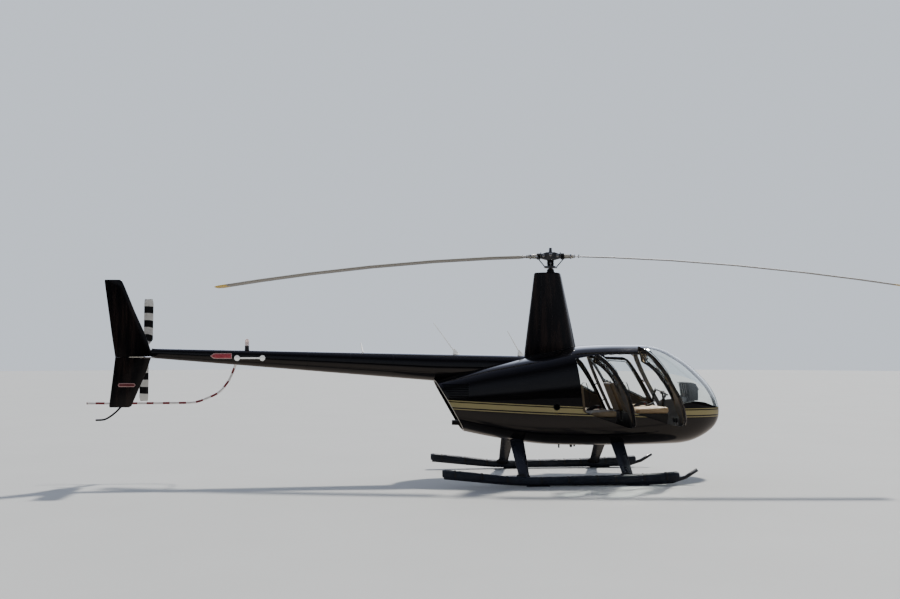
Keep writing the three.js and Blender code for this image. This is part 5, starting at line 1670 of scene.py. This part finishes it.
def make_belts():
    """Shoulder belts that hang from the seats' back panel down to the outer side of each seat."""
    build = Build()
    for side in (-1, 1):
        for x_top, x_foot, z_top, z_foot in ((1.010, 1.205, 1.405, 1.000), (0.412, 0.490, 1.398, 0.950)):
            y = side * 0.470
            line = [
                (x_top - 0.06, y, z_top - 0.03), (x_top - 0.03, y, z_top + 0.006),
                (x_top + 0.01, y, z_top),
            ]
            build.put("webbing", strap, line, (0, 0.046, 0), (0.0, 0.0, 0.003))
            face = [
                (x_top + 0.012, z_top - 0.004), (x_top + 0.05, z_top - 0.12),
                (x_foot - 0.02, z_foot + 0.14),
            ]
            build.put(
                "webbing", strap, [(x, y + side * 0.01 * k, z) for k, (x, z) in enumerate(face)],
                (0, 0.046, 0), (0.003, 0, 0.001),
            )
    build.finish("shoulder_belts", "airframe", "dark_plastic")


def make_whips():
    """Two white whip aerials, each on a small swept foot."""
    for name, foot, tip in (
        ("fore", (-0.445, 1.780), (-0.655, 2.158)), ("aft", (-1.412, 1.799), (-1.762, 2.281))
    ):
        (x, z), (tip_x, tip_z) = foot, tip
        build = Build()
        build.put("aerial", rod, (x, 0, z + 0.002), (tip_x, 0, tip_z - 0.004), 0.0095, 0.0055, 14)
        build.put("aerial", rod, (tip_x + 0.002, 0, tip_z - 0.006), (tip_x, 0, tip_z), 0.0065, 0.003, 12)
        swept = (
            (x - 0.062, z + 0.014), (x + 0.042, z + 0.014), (x - 0.036, z + 0.096), (x - 0.050, z + 0.098)
        )
        build.put("aerial", side_form, swept, 0.012, 0.004)
        pad = ((0.0, 0.0), (0.044, 0.0), (0.044, 0.004), (0.036, 0.009), (0.0, 0.010))
        build.lathed("aerial", pad, x, 0, z + 0.010, 24)
        build.finish(f"whip_{name}_finish", "airframe", "gear_black", (f"whip_{name}",))


# Heights on the rotor head: coning bolts, see-saw bolt and the swashplate links' pin.
CONING_BOLT, SEESAW_BOLT, LINK_PIN = 3.284, 3.302, 3.167
# Half outlines of the balls at both ends of a pitch link: radius and height.
HORN_BALL = (
    (0.0, 0.0), (0.010, 0.002), (0.014, 0.010), (0.014, 0.016), (0.010, 0.024), (0.0, 0.026),
)
FOOT_BALL = (
    (0.0, 0.0), (0.012, 0.002), (0.016, 0.010), (0.016, 0.020), (0.012, 0.028), (0.0, 0.030),
)
# Rotor head: the blades' own line at rest, seen from above.
ROTOR_TURN = Matrix.Rotation(math.radians(-10), 4, "Z")


def make_rotor_head():
    """Boots, hinge bolts, rod ends and scissor links of the rotor head."""
    build = Build()
    bellows = [(0.0338, 0.0), (0.050, 0.0)]
    for k in range(7):
        bellows += [(0.045, 0.006 + 0.0115 * k), (0.056, 0.012 + 0.0115 * k)]
    bellows += [(0.044, 0.086), (0.0338, 0.086)]
    build.lathed("rubber", bellows, 0, 0, 3.136, 28)
    for way in (-1, 1):
        x = way * 0.105
        build.across("steel", x, CONING_BOLT, -0.060, 0.060, 0.020, 0.020, 20, 0.002)
        for end in (-1, 1):
            build.across("bright", x, CONING_BOLT, end * 0.054, end * 0.070, 0.024, 0.023, 6, 0.002)
            build.across("bright", x, CONING_BOLT, end * 0.070, end * 0.078, 0.011, 0.010, 12)
        build.upright("bright", way * 0.146, 0, 3.300, 3.334, 0.019, 0.016, 6, 0.002)
        build.upright("bright", way * 0.146, 0, 3.332, 3.342, 0.009, 0.008, 12)
        start = Vector((way * 0.154, 0, 3.279))
        cuff = [(0.036, 0.0), (0.050, 0.003)]
        for k in range(4):
            cuff += [(0.044, 0.008 + 0.010 * k), (0.051, 0.013 + 0.010 * k)]
        cuff += [(0.036, 0.052)]
        build.put("rubber", turned, cuff, start, start + Vector((way, 0, 0)), 24)
        collar = ((0.030, 0.0), (0.040, 0.001), (0.041, 0.018), (0.030, 0.020))
        build.put("bright", turned, collar, (way * 0.292, 0, 3.2775), (way * 0.4, 0, 3.2775), 24)
        for r, across in ((0.358, 0.020), (0.358, -0.030), (0.420, 0.022), (0.420, -0.050)):
            spot = Vector((way * r, way * across, 3.276))
            build.put(
                "bright", rod, spot - Vector((0, 0, 0.021)), spot + Vector((0, 0, 0.024)), 0.010, 0.010,
                6, 0.001,
            )
        horn = Vector((way * 0.203, way * 0.118, 3.262))
        build.put("steel", turned, HORN_BALL, horn - Vector((0, 0, 0.013)), horn + Vector((0, 0, 1)), 16)
        foot = Vector((way * 0.086, way * 0.070, 3.118))
        build.put("steel", turned, FOOT_BALL, foot - Vector((0, 0, 0.015)), foot + Vector((0, 0, 1)), 16)
        build.put(
            "rotor", pipe, [(0, way * 0.050, 3.196), (0, way * 0.092, 3.186), (0, way * 0.118, 3.166)],
            0.008, 10,
        )
        build.put(
            "rotor", pipe, [(0, way * 0.118, 3.168), (0, way * 0.112, 3.145), (0, way * 0.086, 3.128)],
            0.008, 10,
        )
        build.put(
            "bright", rod, (-0.016, way * 0.118, LINK_PIN), (0.016, way * 0.118, LINK_PIN), 0.007, 0.007,
            12,
        )
    build.across("steel", 0, SEESAW_BOLT, -0.066, 0.066, 0.025, 0.025, 24, 0.002)
    for end in (-1, 1):
        build.across("bright", 0, SEESAW_BOLT, end * 0.062, end * 0.080, 0.030, 0.028, 6, 0.002)
    build.finish("rotor_head_fittings", "main_rotor", "bare_steel", (), 35, ROTOR_TURN)


# The tailcone from its aft end to its root, and the saddle's end ahead of it: x, z and radius.
CONE_END, CONE_ROOT, SADDLE_END = (-5.830, 1.827, 0.070), (-1.750, 1.620, 0.200), (-0.330, 1.592, 0.200)


def cone_line(x, start=CONE_END, end=CONE_ROOT):
    """Height of the tailcone's middle line and its radius at a place along it."""
    part = (x - start[0]) / (end[0] - start[0])
    return start[1] + part * (end[1] - start[1]), start[2] + part * (end[2] - start[2])


def cone_spot(x, turn, lift):
    """A place on the tailcone, by its turn from the top to the right."""
    z, radius = cone_line(x)
    reach = radius + lift
    return Vector((x, -reach * math.sin(turn), z + reach * math.cos(turn)))


def make_tail_fittings():
    """Seam rings and rivets of the tailcone, and the blank placards."""
    build = Build()
    for x in (-2.360, -2.980, -3.600, -4.220, -4.840, -5.440):
        ring = [cone_spot(x, 2 * math.pi * k / 48, 0.0004) for k in range(48)]
        build.put("black", hoop, ring, 0.0016, 6)
        for offset in (-0.014, 0.014):
            for k in range(30):
                turn = 2 * math.pi * (k + 0.5) / 30
                at, out = cone_spot(x + offset, turn, -0.001), cone_spot(x + offset, turn, 0.0018)
                build.put("black", rod, at, out, 0.0034, 0.0022, 6)
    build.finish("tailcone_rivets", "airframe", "body_black")
    build = Build()
    for material, grow, lift in (("placard_edge", 0.0, 0.0008), ("placard", 0.011, 0.0016)):
        low, high, tail, nose = 1.748 + grow, 1.826 - grow, -4.995 + 1.6 * grow, -4.685 - grow
        outline = [
            (tail, (low + high) / 2), (tail + 0.055, low), (nose, low), (nose, high), (tail + 0.055, high)
        ]
        bm = sheet(outline, 0.0008)
        split_long_edges(bm, 0.03, 5)
        for vert in bm.verts:
            z, radius = cone_line(vert.co.x)
            over = max(-0.98, min(0.98, (vert.co.y - z) / radius))
            vert.co = cone_spot(vert.co.x, math.acos(over), lift + vert.co.z)
        bmesh.ops.recalc_face_normals(bm, faces=bm.faces)
        build.add(bm, material)
    for material, grow, lift in (("placard_edge", 0.0, 0.0), ("placard_dark", 0.009, 0.0008)):
        outline = [
            (-6.268 + grow, 1.346 + grow), (-6.060 - grow, 1.346 + grow), (-6.040 - grow, 1.372),
            (-6.060 - grow, 1.398 - grow), (-6.268 + grow, 1.398 - grow), (-6.288 + grow, 1.372),
        ]
        bm = sheet(outline, 0.001, 0.0003)
        bmesh.ops.transform(
            bm,
            matrix=Matrix.Translation((0, -0.0745 - lift, 0)) @ Matrix.Rotation(math.radians(90), 4, "X"),
            verts=bm.verts,
        )
        build.add(bm, material)
    build.finish("tail_placards", "airframe", "body_black")


def make_belly_fittings():
    """Belly stubs, the rim of the round intake, and clamps of the gear."""
    build = Build()
    stubs = (
        (0.070, 0.440, 0.013, 0.011, 12, 0.001),
        (0.250, 0.448, 0.024, 0.017, 16, 0.002),
        (0.300, 0.458, 0.015, 0.013, 12, 0.001),
    )
    for x, low, *measures in stubs:
        build.upright("plastic", x, -0.20, 0.500, low, *measures)
    turns = [2 * math.pi * k / 40 for k in range(40)]
    spots = [(-0.040 + 0.045 * math.cos(turn), 1.058 + 0.045 * math.sin(turn)) for turn in turns]
    rim = body_sides(spots, -1, 0.001)
    build.put("rubber", hoop, rim, 0.0035, 8)
    for _, x in GEAR_PLACES:
        for side in (-1, 1):
            y = side * 0.405
            build.put("gear", rod, (x - 0.060, y, 0.560), (x + 0.060, y, 0.560), 0.046, 0.046, 24, 0.006)
    build.finish("belly_fittings", "airframe", "gear_black")


def tube_line(x):
    """The same as cone_line, and on the saddle ahead of the cone too."""
    return cone_line(x) if x < CONE_ROOT[0] else cone_line(x, CONE_ROOT, SADDLE_END)


# How far a facet of the tail tube may lie off the round, and how much the cone's sides face aft.
ROUND_REACH = 0.0035
CONE_LEAN = -0.032


def make_tail_tube():
    """The tailcone and its saddle cowl, with their facets drawn onto the true round."""
    for node in ("tailcone", "tailcone_cowl"):
        bm = merged_copy(node)
        bmesh.ops.translate(bm, vec=-ORIGIN, verts=bm.verts)
        split_long_edges(bm, 0.06, 6)
        bm.verts.index_update()
        rounds = set()
        for face in bm.faces:
            spots = [
                tube_line(v.co.x) + (math.hypot(v.co.y, v.co.z - tube_line(v.co.x)[0]),)
                for v in face.verts
            ]
            if all(abs(away - radius) < ROUND_REACH for _, radius, away in spots):
                middle = face.calc_center_median()
                out = Vector((0, middle.y, middle.z - tube_line(middle.x)[0])).normalized()
                if face.normal.dot(out) > 0.9:
                    rounds.add(face.index)
                    face.material_index = 1
        for face in bm.faces:
            if face.material_index == 1:
                for vert in face.verts:
                    z, radius = tube_line(vert.co.x)
                    out = Vector((0, vert.co.y, vert.co.z - z))
                    out.length = radius
                    vert.co = Vector((vert.co.x, out.y, z + out.z))
        bmesh.ops.translate(bm, vec=ORIGIN, verts=bm.verts)
        mesh = mesh_of(bm, 30)
        mesh.validate()
        corners = [Vector(corner.vector) for corner in mesh.corner_normals]
        for face in mesh.polygons:
            if face.material_index == 1:
                for loop in face.loop_indices:
                    place = mesh.vertices[mesh.loops[loop].vertex_index].co - ORIGIN
                    z, _ = tube_line(place.x)
                    lean = 0.0 if place.x > CONE_ROOT[0] else CONE_LEAN
                    corners[loop] = Vector((lean, 0, 0)) + Vector((0, place.y, place.z - z)).normalized()
                    corners[loop].normalize()
                face.material_index = 0
        mesh.normals_split_custom_set(corners)
        publish(mesh, f"{node}_finish", "airframe", ["black"], (node,))


# Half outline of a faired leg: along the chord and across it, in halves of each.
LEG_SHAPE = ((1.0, 0.0), (0.8, 0.7), (0.3, 1.0), (-0.4, 0.8), (-1.0, 0.12))
# Leg stations: share of the way down, half chord, and how far the middle moves forward.
LEG_STATIONS = (
    (0.0, 0.100, 0.0), (0.25, 0.095, 0.003), (0.5, 0.087, 0.007), (0.75, 0.078, 0.011),
    (0.94, 0.071, 0.014),
)
# The legs' middle line at the belly and at the skid, half their thickness, and where each gear is.
LEG_TOP, LEG_FOOT = Vector((0, 0.405, 0.585)), Vector((0, 1.076, 0.062))
LEG_HALF = 0.024
GEAR_PLACES = (("front", 0.875), ("aft", -0.590))


def leg_ring(x, side, share, half, shape):
    """A ring of the faired leg at a share of the way from the belly to the skid."""
    lean = (LEG_FOOT - LEG_TOP).normalized()
    at = LEG_TOP.lerp(LEG_FOOT, share)
    ring = []
    for a, b in shape:
        y, z = at.y - b * LEG_HALF * lean.z, at.z + b * LEG_HALF * lean.y
        ring.append(Vector((x + a * half, side * y, z)))
    return ring


def make_gear():
    """Front and aft gear: cross tube, faired legs that narrow downwards, and a boot at each foot."""
    shape = [(p.x, p.y) for p in smooth_line([(a, b, 0) for a, b in LEG_SHAPE], 5)]
    shape += [(a, -b) for a, b in reversed(shape[1:])]
    for name, x in GEAR_PLACES:
        build = Build()
        build.across("gear", x, 0.575, -0.415, 0.415, 0.030, 0.030, 24)
        for side in (-1, 1):
            rings = [leg_ring(x + shift, side, share, half, shape) for share, half, shift in LEG_STATIONS]
            build.put("gear", loft, rings)
            boot = [
                leg_ring(x, side, share, half, shape)
                for share, half in ((0.835, 0.084), (0.865, 0.094), (0.90, 0.098), (0.985, 0.098))
            ]
            build.put("rubber", loft, boot)
            for share in (0.12, 0.80):
                ring = leg_ring(x + 0.012 * share, side, share, 0.103 - 0.027 * share, shape)
                build.put("gear", hoop, ring, 0.0022, 6)
        build.finish(f"{name}_gear_finish", "airframe", "gear_black", (f"{name}_gear",))


# Where the cream strip painted as a highlight on the stabiliser's tip begins.
TIP_TAIL = -5.985

# The tail skid's middle line, from inside the lower fin to its turned-up end, and the fins' own Y.
SKID_LINE = ((-6.243, 1.062), (-6.330, 0.972), (-6.456, 0.888), (-6.590, 0.875))
FIN_MIDDLE = -0.055


def make_tail_skid():
    """Bent tube under the lower fin, with a rounded end."""
    middle = Vector((0, FIN_MIDDLE, 0))
    line = [point + middle for point in smooth_line([(x, 0.0, z) for x, z in SKID_LINE], 8)]
    build = Build().put("rubber", pipe, line, 0.0135, 16)
    build.finish("tail_skid_finish", "airframe", "gear_black", ("tail_skid",))


def make_cowl_fittings():
    """Screens behind the louvres, and cream strips painted as highlights along the cowls' edge and on the
    stabiliser's tip.
    """
    build = Build()
    screen = ((-1.560, 1.150), (-1.262, 1.150), (-1.262, 1.402), (-1.705, 1.402))
    for _, side in SIDES:
        build.put("rubber", draped, screen, side, -0.021, 0.002)
        edge = [(-1.296 - 0.5765 * (z - 0.640), z) for z in np.linspace(0.668, 1.478, 28)]
        # Painted highlight: a cream strip along the cowl's aft edge.
        build.put("cream", pipe, body_sides(edge, side, 0.0005), 0.0045, 8, False)
    build.finish("cowl_fittings", "airframe", "body_black")
    # Painted highlight: a cream strip on the stabiliser's tip.
    tip = sheet(
        ((TIP_TAIL, -0.004), (-5.800, -0.006), (-5.786, 0.0), (-5.800, 0.006), (TIP_TAIL, 0.004)), 0.004,
        0.001,
    )
    move = Matrix.Translation((0, -0.7555, 1.775)) @ Matrix.Rotation(math.radians(90), 4, "X")
    Build().add(tip, "cream", move).finish("stabiliser_tip", "airframe", "body_black")


make_camera()
make_sun()
make_world()
make_floor(MATERIALS["floor"])
make_shells()
make_doors()
make_carried()
make_blades()
make_guard()
make_mast_fairing()
make_floats()
make_pads()
make_panel()
make_beacon()
make_lamps()
make_door_trim()
make_cyclic()
make_cabin_fittings()
make_belts()
make_whips()
make_rotor_head()
make_tail_fittings()
make_belly_fittings()
make_tail_tube()
make_gear()
make_cowl_fittings()
make_tail_skid()
